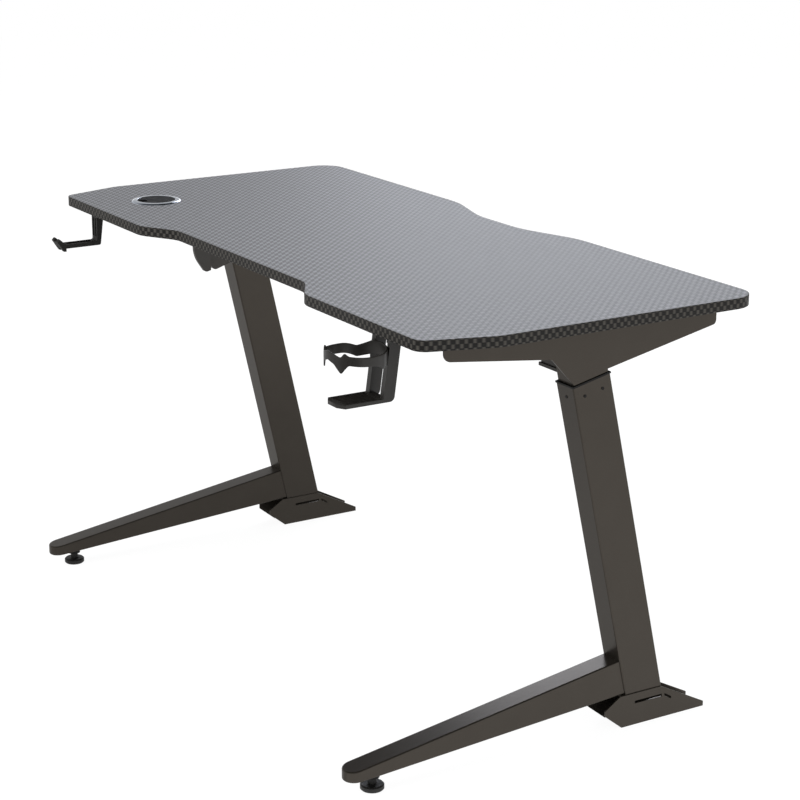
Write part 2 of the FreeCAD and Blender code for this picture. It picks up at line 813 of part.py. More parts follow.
def build_bracket(name, side):
    """Top bracket: a deep side plate on the inner column's outer face with a flange under the desktop."""
    front, rear = bracket_front, bracket_rear
    neck_front, neck_back = inner_gap, dim.column_depth - inner_gap
    neck_back_z = mouth_z + dim.bracket_neck_rise
    outline = [
        (front, underside),
        (front, underside - dim.bracket_front_depth),
        (neck_y - dim.bracket_knee_run, underside - dim.bracket_knee_depth),
        lean_point(neck_along, neck_front),
        lean_point(neck_along, neck_back),
        (lean_line(neck_back, neck_back_z), neck_back_z),
        (rear, underside - dim.bracket_rear_depth),
        (rear, underside)]
    rounds = [(dim.bracket_front_round, [1]), (dim.bracket_knee_round, [2]), (dim.bracket_rear_round, [6])]
    plate_reach = across(side, inner_half, inner_half + dim.bracket_sheet)
    plate = profile(f"{name}_bracket_plate", outline, plate_reach, rounds=rounds)
    flange_y = (front + dim.flange_inset, rear - dim.flange_inset)
    flange = box(f"{name}_bracket_flange", across(side, inner_half - dim.flange_width, inner_half), flange_y,
                 (underside - dim.bracket_sheet, underside))
    tools = []
    screw_x = side * (leg_x + inner_half - dim.flange_width / 2)
    screw_spots = []
    eighth = (flange_y[1] - flange_y[0]) / 8
    behind_rail = front_rail_y + dim.rail_width / 2 + dim.rail_screw_gap
    for y in (flange_y[0] + eighth / 2, behind_rail, flange_y[0] + eighth * 5, flange_y[1] - eighth / 2):
        screw_spots.append((screw_x, y))
    for number, (x, y) in enumerate(screw_spots):
        tools.append(rod(f"{name}_bracket_way_{number}", dim.screw_radius + dim.bolt_clearance,
                         dim.bracket_sheet,
                         (x, y, underside - dim.bracket_sheet)))
    for number, (x, y) in enumerate(rail_bolt_spots(side)):
        tools.append(rod(f"{name}_rail_way_{number}", dim.screw_radius + dim.bolt_clearance,
                         dim.bracket_sheet,
                         (x, y, underside - dim.bracket_sheet)))
    blank = fuse(f"{name}_bracket_blank", [plate, flange])
    node(f"{name}_top_bracket", cut(f"{name}_bracket", blank, tools))
    board_screws(f"{name}_bracket_screws", screw_spots, underside - dim.bracket_sheet)


def foot_bolt_spots(side):
    """Bearing point and direction of the two bolts that pull a foot against its column."""
    spots = []
    for height in (dim.foot_bolt_low, dim.foot_bolt_high):
        y = lean_line(dim.column_wall, height)
        spots.append(((side * leg_x, y, height), X_AXIS, 90 + dim.lean))
    return spots


def foot_top(y):
    """Height of a foot's upper edge."""
    return dim.foot_top_middle + y * dim.foot_top_slope


def foot_bottom(y):
    """Height of a foot's lower edge."""
    return dim.foot_bottom_middle + y * dim.foot_bottom_slope


def foot_meets_column(middle, slope, back):
    """Side-view point where a foot's edge meets a line along the column."""
    y = (lean_line(back, 0) - middle * tan_lean) / (1 + slope * tan_lean)
    return y, middle + slope * y


def long_foot_edges(shape):
    """Name the long edges where a foot's sides meet its top and sole."""
    names = []
    for number, edge in enumerate(shape.Edges, start=1):
        ends = [vertex.Point for vertex in edge.Vertexes]
        if abs(ends[-1].y - ends[0].y) > half_depth.value:
            names.append(f"Edge{number}")
    return names


def build_foot(name, side):
    """Tapered box foot, closed at the column end, with a round nose and its levelling glide."""
    half = dim.foot_width / 2
    front = foot_front
    outline = [
        (front, foot_bottom(front)),
        foot_meets_column(dim.foot_bottom_middle, dim.foot_bottom_slope, 0),
        foot_meets_column(dim.foot_top_middle, dim.foot_top_slope, 0),
        (front, foot_top(front))]
    whole = profile(f"{name}_foot_blank", outline, across(side, -half, half))
    nose = []
    for number, edge in enumerate(whole.Tip.Shape.Edges, start=1):
        ends = [vertex.Point for vertex in edge.Vertexes]
        at_front = all(abs(end.y - front.value) < TOLERANCE for end in ends)
        if at_front and abs(ends[0].x - ends[1].x) < TOLERANCE:
            nose.append(f"Edge{number}")
    round_edges(whole, nose, dim.foot_tip_round)
    round_edges(whole, long_foot_edges(whole.Tip.Shape), dim.foot_edge_round)
    wall = dim.foot_wall
    end_back = -dim.foot_end_wall
    inner_front = front + dim.foot_tip_round
    cavity = [
        (inner_front, foot_bottom(inner_front) + wall),
        foot_meets_column(dim.foot_bottom_middle + wall, dim.foot_bottom_slope, end_back),
        foot_meets_column(dim.foot_top_middle - wall, dim.foot_top_slope, end_back),
        (inner_front, foot_top(inner_front) - wall)]
    hollow = profile(f"{name}_foot_hollow", cavity, across(side, wall - half, half - wall))
    x = side * leg_x
    tools = [hollow]
    tools.append(rod(f"{name}_insert_way", dim.insert_radius + dim.bolt_clearance,
                     dim.insert_depth + dim.insert_stand,
                     (x, glide_y, foot_bottom(glide_y) - dim.insert_stand)))
    for number, (at, axis, angle) in enumerate(foot_bolt_spots(side)):
        tools.append(rod(f"{name}_foot_way_{number}", dim.bolt_radius + dim.bolt_clearance,
                         dim.foot_bolt_length + dim.column_wall + dim.screw_hole_extra, at, axis, angle))
    node(f"{name}_foot", cut(f"{name}_foot_box", whole, tools))
    bolts = []
    for number, (at, axis, angle) in enumerate(foot_bolt_spots(side)):
        bolts.append(fastener(f"{name}_foot_bolt_{number}", dim.bolt_radius, dim.foot_bolt_length,
                              dim.bolt_head_radius, dim.bolt_head_height, at, axis, angle))
    node(f"{name}_foot_bolts", group(f"{name}_foot_bolt_set", bolts))


def build_glide(name, side):
    """Threaded insert in the foot, and the pad on its stud that screws in it."""
    x = side * leg_x
    sole = foot_bottom(glide_y)
    nut_top = sole - dim.insert_nut_gap
    insert_bottom = sole - dim.insert_stand
    insert_top = sole + dim.insert_depth
    bore = dim.glide_stud_radius + dim.bearing_clearance
    insert = turned(f"{name}_insert", [
        (bore, insert_bottom),
        (dim.insert_nut_radius, insert_bottom),
        (dim.insert_nut_radius, nut_top),
        (dim.insert_radius, nut_top),
        (dim.insert_radius, insert_top),
        (bore, insert_top)], (x, glide_y, 0))
    node(f"{name}_glide_insert", insert)
    pad_top = dim.glide_pad_height
    stud_top = insert_top + dim.glide_stud_proud
    chamfer = dim.glide_pad_chamfer
    glide = turned(f"{name}_glide_blank", [
        (0, 0),
        (dim.glide_pad_radius - chamfer, 0),
        (dim.glide_pad_radius, chamfer),
        (dim.glide_pad_radius, pad_top - chamfer),
        (dim.glide_pad_radius - chamfer, pad_top),
        (dim.glide_collar_radius, pad_top),
        (dim.glide_collar_radius, insert_bottom),
        (dim.glide_stud_radius, insert_bottom),
        (dim.glide_stud_radius, stud_top),
        (0, stud_top)], (x, glide_y, 0))
    node(f"{name}_glide", glide)


def build_heel(name, side):
    """Heel base under the column: two slotted side plates, a web on top and folded edges on the floor."""
    outline = [
        (dim.heel_floor_front, term(0)),
        (dim.heel_rear, term(0)),
        (dim.heel_rear, dim.heel_rear_height),
        (dim.heel_top_rear, dim.heel_top),
        (dim.heel_top_front, dim.heel_top),
        (dim.heel_nose_y, dim.heel_nose_high),
        (dim.heel_nose_y, dim.heel_nose_low)]
    half = dim.heel_width / 2
    sheet_in = half - dim.heel_sheet
    slot_low = dim.heel_slot_z - dim.heel_slot_width / 2
    slot_high = dim.heel_slot_z + dim.heel_slot_width / 2
    slash_end = dim.heel_slash_y + dim.heel_slash_run
    slot = profile(f"{name}_heel_slot", [
        (dim.heel_slot_start, slot_low),
        (dim.heel_slot_end, slot_low),
        (dim.heel_slot_end, slot_high),
        (dim.heel_slot_start, slot_high)], across(side, -half, half))
    slash = profile(f"{name}_heel_slash", [
        (dim.heel_slash_y, slot_low),
        (slash_end, slot_low - dim.heel_slash_drop),
        (slash_end, slot_high - dim.heel_slash_drop),
        (dim.heel_slash_y, slot_high)], across(side, -half, half))
    pieces = []
    for number, (inner, outer) in enumerate(((sheet_in, half), (-half, -sheet_in))):
        pieces.append(profile(f"{name}_heel_wing_{number}", outline, across(side, inner, outer)))
    web_y = (dim.heel_top_front + dim.heel_web_inset, dim.heel_top_rear - dim.heel_web_inset)
    pieces.append(box(f"{name}_heel_web", across(side, -sheet_in, sheet_in), web_y,
                      (dim.heel_top - dim.heel_sheet, dim.heel_top)))
    flange_y = (dim.heel_floor_front + dim.heel_web_inset, dim.heel_rear - dim.heel_web_inset)
    folds = ((sheet_in - dim.heel_flange, sheet_in), (-sheet_in, dim.heel_flange - sheet_in))
    for number, (inner, outer) in enumerate(folds):
        pieces.append(box(f"{name}_heel_flange_{number}", across(side, inner, outer), flange_y,
                          (term(0), dim.heel_sheet)))
    plate_half = dim.column_width / 2 - dim.plate_inset
    plate_y = (lean_line(dim.plate_inset, dim.column_bottom),
               lean_line(dim.column_depth - dim.plate_inset, dim.column_bottom))
    plate = box(f"{name}_plate_blank", across(side, -plate_half, plate_half), plate_y,
                (dim.heel_top, dim.column_bottom))
    x = side * leg_x
    middle = (plate_y[0] + plate_y[1]) / 2
    ways, bolts, plate_ways = [], [], []
    for number, shift in enumerate((-1, 1)):
        at = (x, middle + shift * dim.heel_bolt_spread, dim.heel_top - dim.heel_sheet)
        way_radius = dim.bolt_radius + dim.bolt_clearance
        ways.append(rod(f"{name}_heel_way_{number}", way_radius, dim.heel_sheet, at))
        plate_ways.append(rod(f"{name}_plate_way_{number}", way_radius, dim.heel_bolt_length, at))
        bolts.append(fastener(f"{name}_heel_bolt_{number}", dim.bolt_radius, dim.heel_bolt_length,
                              dim.bolt_head_radius, dim.bolt_head_height, at))
    node(f"{name}_heel_base", cut(f"{name}_heel", fuse(f"{name}_heel_blank", pieces), [slot, slash] + ways))
    node(f"{name}_column_plate", cut(f"{name}_plate", plate, plate_ways))
    node(f"{name}_heel_bolts", group(f"{name}_heel_bolt_set", bolts))


# Frame and drive under the desktop

def rail_bolt_spots(side):
    """Places of the bolts that hold both rails to one bracket's flange."""
    spots = []
    for y in (front_rail_y, rear_rail_y):
        for share in (1, 3):
            spots.append((side * (leg_x + inner_half - dim.flange_width * share / 4), y))
    return spots


def build_rails():
    """Two channel rails that tie the brackets together under the desktop."""
    top = underside - dim.bracket_sheet
    reach = leg_x + inner_half
    bolts = []
    for name, middle in (("front", front_rail_y), ("rear", rear_rail_y)):
        y = (middle - dim.rail_width / 2, middle + dim.rail_width / 2)
        blank = box(f"{name}_rail_blank", (-reach, reach), y, (top - dim.rail_height, top))
        hollow = box(f"{name}_rail_hollow", (-reach, reach), (y[0] + dim.rail_wall, y[1] - dim.rail_wall),
                     (top - dim.rail_height, top - dim.rail_wall))
        tools = [hollow]
        for side_name, side in SIDES.items():
            for number, (x, bolt_y) in enumerate(rail_bolt_spots(side)):
                if bolt_y is not middle:
                    continue
                tools.append(rod(f"{name}_{side_name}_rail_way_{number}",
                                 dim.screw_radius + dim.bolt_clearance,
                                 dim.rail_wall, (x, bolt_y, top - dim.rail_wall)))
                bolts.append(fastener(f"{name}_{side_name}_rail_bolt_{number}", dim.screw_radius,
                                      dim.rail_wall + dim.bracket_sheet, dim.screw_head_radius,
                                      dim.screw_head_height, (x, bolt_y, top - dim.rail_wall)))
        node(f"{name}_rail", cut(f"{name}_rail_channel", blank, tools))
    node("rail_bolts", group("rail_bolt_set", bolts))


def build_gearbox(name, side):
    """Gearbox on the inner face of an inner column, with a grooved foot and a bore for the shaft."""
    reach = across(side, -inner_half - dim.gearbox_reach, -inner_half)
    y = (gearbox_front, gearbox_front + dim.gearbox_depth)
    top = underside - dim.bracket_sheet
    groove_low = gearbox_bottom + dim.gearbox_plate
    groove_high = groove_low + dim.gearbox_groove
    depth = dim.gearbox_groove_depth
    foot_y = (y[0], y[0] + dim.gearbox_foot_depth)
    foot = box(f"{name}_gearbox_foot", reach, foot_y, (gearbox_bottom, groove_low))
    waist_reach = across(side, depth - inner_half - dim.gearbox_reach, -inner_half)
    waist = box(f"{name}_gearbox_waist", waist_reach, (y[0] + depth, foot_y[1] - depth),
                (groove_low, groove_high))
    case = box(f"{name}_gearbox_case", reach, y, (groove_high, top))
    end = side * (leg_x - inner_half - dim.gearbox_reach)
    way = rod(f"{name}_shaft_way", dim.shaft_radius + dim.bearing_clearance, dim.shaft_entry,
              (end, shaft_y, shaft_z), Y_AXIS * side, 90)
    node(f"{name}_gearbox",
         cut(f"{name}_gearbox_body", fuse(f"{name}_gearbox_blank", [foot, waist, case]), [way]))


def build_drive():
    """Cross shaft between the gearboxes, and the motor in its housing in front of the left gearbox."""
    half = leg_x - inner_half - dim.gearbox_reach + dim.shaft_entry - dim.fit_clearance
    hexagon = []
    for degrees in HEXAGON:
        turn = math.radians(degrees)
        hexagon.append((shaft_y + dim.shaft_radius * math.cos(turn),
                        shaft_z + dim.shaft_radius * math.sin(turn)))
    node("drive_shaft", profile("shaft_bar", hexagon, (-half, half)))
    face = -leg_x + inner_half + dim.gearbox_reach
    outer = -leg_x + dim.column_width / 2 + dim.motor_side_gap
    rear = gearbox_front
    motor_top = underside - dim.motor_top_drop
    motor_low = underside - dim.motor_toe_drop
    outline = [
        (rear, underside - dim.motor_heel_drop),
        (rear, motor_top),
        (rear - dim.motor_reach, motor_top),
        (rear - dim.motor_shoulder, underside - dim.motor_shoulder_drop),
        (rear - dim.motor_toe, motor_low)]
    rounds = [(dim.motor_shoulder_round, [3]), (dim.motor_toe_round, [4])]
    inner = face - dim.motor_step
    shell = profile("motor_shell", outline, (inner, face), rounds=rounds)
    step = box("motor_step_cut", (inner, face), (rear - dim.motor_step_run, rear), (motor_low, motor_top))
    cover = cut("motor_cover", shell, [step])
    set_back = [(across + dim.motor_back_set, up) for across, up in outline[2:]]
    case = profile("motor_case", outline[:2] + set_back, (outer, inner), rounds=rounds)
    x = (outer + inner) / 2
    low = (x, *lean_point(column_length + dim.motor_rise, -dim.motor_set))
    bay = rod("motor_bay", dim.motor_radius + dim.fit_clearance, 2 * dim.motor_length, low, X_AXIS, dim.lean)
    node("motor_housing", cut("motor_body", fuse("motor_blank", [cover, case]), [bay]))
    node("drive_motor", rod("motor_can", dim.motor_radius, dim.motor_length, low, X_AXIS, dim.lean))


def build_controls():
    """Control box in the middle, and the hand switch with its two keys behind the front edge."""
    half = dim.control_width / 2
    middle = (shaft_y + rear_rail_y - dim.rail_width / 2) / 2
    y = (middle - dim.control_depth / 2, middle + dim.control_depth / 2)
    case = box("control_case", (-half, half), y, (underside - dim.control_height, underside))
    ear_z = underside - dim.control_ear_thickness
    ears = box("control_ears", (-half - dim.control_ear, half + dim.control_ear), y, (ear_z, underside))
    spots = []
    for x in (-half - dim.control_ear / 2, half + dim.control_ear / 2):
        for edge in (y[0] + dim.control_ear / 2, y[1] - dim.control_ear / 2):
            spots.append((x, edge))
    ways = []
    for number, (x, spot_y) in enumerate(spots):
        ways.append(rod(f"control_way_{number}", dim.screw_radius + dim.bolt_clearance,
                        dim.control_ear_thickness,
                        (x, spot_y, ear_z)))
    node("control_box", cut("control_body", fuse("control_blank", [case, ears]), ways))
    board_screws("control_box_screws", spots, ear_z)

    half = dim.switch_width / 2
    front = dim.switch_setback - half_depth
    switch_x = half_width - dim.switch_end_gap
    low = underside - dim.switch_height
    x = (switch_x - half, switch_x + half)
    case = box("switch_case", x, (front, front + dim.switch_depth), (low, underside))
    ears = box("switch_ears", (x[0] - dim.control_ear, x[1] + dim.control_ear),
               (front + dim.switch_depth / 2, front + dim.switch_depth), (ear_z, underside))
    key_z = underside - dim.switch_height / 2
    tools = []
    for name, shift in (("down", -1), ("up", 1)):
        middle = switch_x + shift * dim.button_spread
        key_x = (middle - dim.button_width / 2, middle + dim.button_width / 2)
        gap = dim.fit_clearance
        tools.append(box(f"{name}_socket", (key_x[0] - gap, key_x[1] + gap),
                         (front, front + dim.button_socket),
                         (key_z - dim.button_height / 2 - gap, key_z + dim.button_height / 2 + gap)))
        back = front + dim.button_socket - dim.button_travel_room
        node(f"{name}_button", box(f"{name}_key", key_x, (front - dim.button_proud, back),
                                   (key_z - dim.button_height / 2, key_z + dim.button_height / 2)))
    spot_y = front + dim.switch_depth * 3 / 4
    spots = [(x[0] - dim.control_ear / 2, spot_y), (x[1] + dim.control_ear / 2, spot_y)]
    for number, (spot_x, hole_y) in enumerate(spots):
        tools.append(rod(f"switch_way_{number}", dim.screw_radius + dim.bolt_clearance,
                         dim.control_ear_thickness,
                         (spot_x, hole_y, ear_z)))
    node("hand_switch", cut("switch_body", fuse("switch_blank", [case, ears]), tools))
    board_screws("hand_switch_screws", spots, ear_z)


# Accessories under the front edge

def lug(name, x, width, front):
    """A screw lug behind an accessory's arm, with its two screws' places."""
    low = underside - dim.lug_thickness
    tab = box(f"{name}_lug", (x - width / 2, x + width / 2), (front, front + dim.lug_depth), (low, underside))
    spots = [(x - width / 4, front + dim.lug_depth * 2 / 3), (x + width / 4, front + dim.lug_depth * 2 / 3)]
    ways = []
    for number, (spot_x, spot_y) in enumerate(spots):
        ways.append(rod(f"{name}_lug_way_{number}", dim.screw_radius + dim.bolt_clearance, dim.lug_thickness,
                        (spot_x, spot_y, low)))
    return tab, spots, ways, low


def build_hook():
    """Headphone hook: a grooved arm down from the desktop, a channelled rest forward and a flared end."""
    front = accessory_front
    rear = front + dim.hook_arm_depth
    rest_low = underside - dim.hook_drop
    rest_top = rest_low + dim.hook_arm_height
    end = front - dim.hook_rest
    half = dim.hook_width / 2
    arm = profile("hook_arm", [
        (front, underside),
        (front, rest_top),
        (end, rest_top),
        (end, rest_low),
        (rear - dim.hook_lean, rest_low),
        (rear, underside)], (hook_x - half, hook_x + half),
        rounds=[(dim.hook_round, [1, 4])])
    tip_half = dim.hook_tip_width / 2
    tip = profile("hook_tip", [
        (end, rest_low - dim.hook_tip_drop),
        (end, rest_top),
        (end - dim.hook_tip_run + dim.hook_tip_thickness, rest_top + dim.hook_tip_rise),
        (end - dim.hook_tip_run, rest_top + dim.hook_tip_rise - dim.hook_tip_thickness),
        (end - dim.hook_tip_thickness, rest_low - dim.hook_tip_drop)],
        (hook_x - tip_half, hook_x + tip_half))
    tab, spots, ways, low = lug("hook", hook_x, dim.hook_width, rear - dim.hook_arm_depth / 2)
    grooves = []
    for number, shift in enumerate((-1, 1)):
        middle = hook_x + shift * dim.hook_groove_spread
        grooves.append(box(f"hook_groove_{number}",
                           (middle - dim.hook_groove_width / 2, middle + dim.hook_groove_width / 2),
                           (front - 1, front + dim.hook_groove_depth),
                           (rest_top + dim.hook_groove_margin, underside - dim.hook_groove_margin)))
    channel_half = dim.hook_channel_width / 2
    grooves.append(box("hook_channel", (hook_x - channel_half, hook_x + channel_half),
                       (end + dim.hook_tip_thickness, front - dim.hook_groove_margin),
                       (rest_top - dim.hook_channel_depth, rest_top)))
    notches = []
    for number, height in enumerate((rest_low - dim.hook_tip_drop, rest_top + dim.hook_tip_rise)):
        notches.append(rod(f"hook_notch_{number}", dim.hook_notch_radius,
                           dim.hook_tip_run + dim.hook_tip_thickness,
                           (hook_x, end, height), X_AXIS, 90))
    blade = cut("hook_blade", tip, notches)
    node("headphone_hook", cut("hook", fuse("hook_blank", [arm, blade, tab]), grooves + ways))
    board_screws("headphone_hook_screws", spots, low)


def crown(name, outline, back):
    """Block that leaves a wavy band of the ring, from an outline in shares of radius and height."""
    middle = underside - dim.cup_ring_drop + dim.cup_ring_height / 2
    points = []
    for share, rise in outline:
        points.append((cup_x + dim.cup_ring_radius * share, middle + dim.cup_ring_height * rise))
    return profile(name, points, (back - dim.cup_ring_radius, back), "XZ_Plane")


def build_cup_holder():
    """Cup holder: two leaning arms, a rimmed shelf, and a fanged ring held between the arms."""
    front = accessory_front
    rear = front + dim.cup_arm_depth
    half = dim.cup_width / 2
    shelf_low = underside - dim.cup_drop
    shelf_top = shelf_low + dim.cup_shelf_thickness
    low_front = front - dim.cup_lean
    low_rear = rear - dim.cup_lean
    outline = [(front, underside), (low_front, shelf_low), (low_rear, shelf_low), (rear, underside)]
    pieces = []
    arm_in = half - dim.cup_arm_thickness
    for number, (inner, outer) in enumerate(((arm_in, half), (-half, -arm_in))):
        pieces.append(profile(f"cup_arm_{number}", outline, (cup_x + inner, cup_x + outer),
                              rounds=[(dim.cup_arm_round, [2])]))
    corner = front - dim.cup_shelf_length
    tip = corner - dim.cup_shelf_bulge
    left, right = cup_x - half, cup_x + half
    shelf_back = low_front + dim.cup_arm_thickness
    quarter = half / 2
    shelf = profile("cup_shelf", [
        (left, corner),
        (left + quarter, tip),
        (right - quarter, tip),
        (right, corner),
        (right, shelf_back),
        (left, shelf_back)], (shelf_low, shelf_top), "XY_Plane")
    rim = dim.cup_rim_width
    tray = profile("cup_tray", [
        (left + rim, corner + rim),
        (right - rim, corner + rim),
        (right - rim, low_front - rim),
        (left + rim, low_front - rim)], (shelf_top - dim.cup_rim_height, shelf_top), "XY_Plane")
    tab, spots, ways, low = lug("cup", cup_x, dim.cup_width, rear - dim.cup_arm_depth / 2)
    pieces += [shelf, tab]
    ring_y = front - dim.cup_ring_set
    ring_low = underside - dim.cup_ring_drop
    inner = dim.cup_ring_radius - dim.cup_ring_wall
    band = turned("cup_ring_band", [
        (inner, -dim.cup_ring_height),
        (dim.cup_ring_radius, -dim.cup_ring_height),
        (dim.cup_ring_radius, 2 * dim.cup_ring_height),
        (inner, 2 * dim.cup_ring_height)], (cup_x, ring_y, ring_low))
    keep = [crown("cup_crown_front", FRONT_SHARES, ring_y),
            crown("cup_crown_back", BACK_SHARES, ring_y + dim.cup_ring_radius)]
    node("cup_holder_ring", common("cup_ring", [band, fuse("cup_ring_keep", keep)]))
    seat = rod("cup_ring_seat", dim.cup_ring_radius, 2 * dim.cup_ring_height,
               (cup_x, ring_y, ring_low - dim.cup_ring_height / 2))
    node("cup_holder_frame", cut("cup_frame", fuse("cup_frame_blank", pieces), [tray, seat] + ways))
    board_screws("cup_holder_screws", spots, low)


def main():
    """Build every piece, check the document and write one file per node."""
    for name, side in SIDES.items():
        build_outer_column(name, side)
        build_guide_sleeve(name, side)
        build_inner_column(name, side)
        build_spindle(name, side)
        build_bracket(name, side)
        build_foot(name, side)
        build_glide(name, side)
        build_heel(name, side)
        build_gearbox(name, side)
    build_rails()
    build_drive()
    build_controls()
    build_hook()
    build_cup_holder()
    build_grommet()
    build_desktop()
    doc.recompute()
    for item in doc.Objects:
        if "Invalid" in item.State or "Error" in item.State:
            raise RuntimeError(f"{item.Label} failed: {item.State}")
    for label, item in nodes.items():
        if item.Shape.isNull() or not item.Shape.isValid():
            raise RuntimeError(f"{label} has no valid shape")
    os.makedirs("parts", exist_ok=True)
    for label, item in nodes.items():
        item.Shape.exportStep(f"parts/{label}.step")
        print(label, len(item.Shape.Solids), round(item.Shape.Volume), item.Shape.BoundBox)


main()
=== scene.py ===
"""Looks of a height-adjustable gaming desk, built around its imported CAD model.

Every piece is in metres, in the CAD model's frame: +X to the user's right, +Y to the back, +Z up, and the
floor at z = 0.
"""

import json
import logging
import math
from dataclasses import dataclass
from enum import Enum
from typing import Any

import bmesh
import bpy
import numpy as np
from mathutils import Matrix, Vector


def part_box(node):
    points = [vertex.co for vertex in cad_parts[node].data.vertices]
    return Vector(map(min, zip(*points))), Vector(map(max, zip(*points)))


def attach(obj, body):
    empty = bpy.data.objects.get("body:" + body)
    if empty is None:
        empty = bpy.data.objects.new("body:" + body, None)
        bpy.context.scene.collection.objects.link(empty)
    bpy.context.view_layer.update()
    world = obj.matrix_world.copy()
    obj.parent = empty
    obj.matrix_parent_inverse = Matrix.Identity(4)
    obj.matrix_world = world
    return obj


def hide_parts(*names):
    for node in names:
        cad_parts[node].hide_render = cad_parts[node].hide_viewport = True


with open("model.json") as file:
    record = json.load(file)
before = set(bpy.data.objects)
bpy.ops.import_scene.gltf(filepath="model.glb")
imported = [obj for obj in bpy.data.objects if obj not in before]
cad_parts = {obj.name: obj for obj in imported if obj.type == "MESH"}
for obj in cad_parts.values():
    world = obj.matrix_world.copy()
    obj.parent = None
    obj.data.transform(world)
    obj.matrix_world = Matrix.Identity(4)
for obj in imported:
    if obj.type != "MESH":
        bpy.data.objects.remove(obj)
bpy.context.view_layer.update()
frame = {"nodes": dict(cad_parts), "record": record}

MM = 0.001
LOG = logging.getLogger("gaming_desk")
Point = tuple[float, float, float]
Span = tuple[float, float]


class Side(Enum):
    """The desk's two legs, by the user's hand."""

    LEFT = "left"
    RIGHT = "right"


class Weave(Enum):
    """Where the carbon print lies: on top of the board, or along the edge band."""

    BOARD = "board"
    EDGE = "edge"


# Colours and nodes


def linear(code: str) -> tuple[float, float, float, float]:
    """Turn an sRGB hex colour into linear light.

    Args:
        code: six hex digits after a hash mark.

    Returns:
        Red, green, blue and an alpha of one.
    """
    parts = np.array([int(code[start:start + 2], 16) for start in (1, 3, 5)]) / 255.0
    light = np.where(parts <= 0.04045, parts / 12.92, ((parts + 0.055) / 1.055) ** 2.4)
    return (*light.tolist(), 1.0)


def add_node(tree: bpy.types.NodeTree, kind: str, links: dict[Any, Any] | None = None,
             **settings: Any) -> bpy.types.Node:
    """Add one node with its settings and its links.

    Args:
        tree: tree that gets the node.
        kind: the node's Blender type.
        links: for each input, by name or number, the output that feeds it or its plain value.
        settings: the node's own attributes.

    Returns:
        The new node.
    """
    node = tree.nodes.new(kind)
    for name, value in settings.items():
        setattr(node, name, value)
    for key, source in (links or {}).items():
        if isinstance(source, bpy.types.NodeSocket):
            tree.links.new(source, node.inputs[key])
        else:
            node.inputs[key].default_value = source
    return node


def combine(tree: bpy.types.NodeTree, operation: str, first: Any, second: Any) -> bpy.types.NodeSocket:
    """Work out one number from two.

    Args:
        tree: tree that gets the node.
        operation: Blender's name for the sum.
        first: first number, or the output that gives it.
        second: second number, or the output that gives it.

    Returns:
        The result's output.
    """
    return add_node(tree, "ShaderNodeMath", {0: first, 1: second}, operation=operation).outputs[0]


def remap(tree: bpy.types.NodeTree, value: bpy.types.NodeSocket, start: Span, end: Span = (0.0, 1.0),
          curve: str = "LINEAR") -> bpy.types.NodeSocket:
    """Carry a number from one span to another, and hold it at the span's ends.

    Args:
        tree: tree that gets the node.
        value: output that gives the number.
        start: span that it comes from.
        end: span that it goes to.
        curve: Blender's name for the way between the ends.

    Returns:
        The result's output.
    """
    ends = {"From Min": start[0], "From Max": start[1], "To Min": end[0], "To Max": end[1]}
    return add_node(tree, "ShaderNodeMapRange", {"Value": value, **ends}, interpolation_type=curve).outputs[0]


def mix_numbers(tree: bpy.types.NodeTree, share: Any, first: Any, second: Any) -> bpy.types.NodeSocket:
    """Go from one number to another by a share.

    Args:
        tree: tree that gets the node.
        share: zero for the first, one for the second.
        first: first number, or the output that gives it.
        second: second number, or the output that gives it.

    Returns:
        The result's output.
    """
    return add_node(tree, "ShaderNodeMix", {0: share, 2: first, 3: second}).outputs[0]


def mix_colours(tree: bpy.types.NodeTree, share: Any, first: Any, second: Any,
                blend: str = "MIX") -> bpy.types.NodeSocket:
    """Go from one colour to another by a share, or blend the second into the first.

    Args:
        tree: tree that gets the node.
        share: zero for the first, one for the second or for the full blend.
        first: first colour, or the output that gives it.
        second: second colour, or the output that gives it.
        blend: Blender's name for the blend.

    Returns:
        The result's output.
    """
    return add_node(tree, "ShaderNodeMix", {0: share, 6: first, 7: second}, data_type="RGBA",
                    blend_type=blend).outputs[2]


def blank_material(name: str) -> bpy.types.Material:
    """Make a material that has no nodes yet."""
    made = bpy.data.materials.new(name)
    made.use_nodes = True
    made.node_tree.nodes.clear()
    return made


# Finishes


@dataclass(frozen=True)
class Finish:
    """A named material with one principled shader, painted once and then shared."""

    name: str

    def material(self) -> bpy.types.Material:
        """Give the finish's material, and paint it on first use.

        Returns:
            The material.
        """
        known = bpy.data.materials.get(self.name)
        if known:
            return known
        made = blank_material(self.name)
        tree = made.node_tree
        shader = add_node(tree, "ShaderNodeBsdfPrincipled")
        add_node(tree, "ShaderNodeOutputMaterial", {"Surface": shader.outputs[0]})
        self.paint(tree, shader)
        return made

    def paint(self, tree: bpy.types.NodeTree, shader: bpy.types.Node) -> None:
        """Link the finish's colour, roughness and relief to its shader.

        Args:
            tree: the material's nodes.
            shader: the principled shader.
        """
        raise NotImplementedError


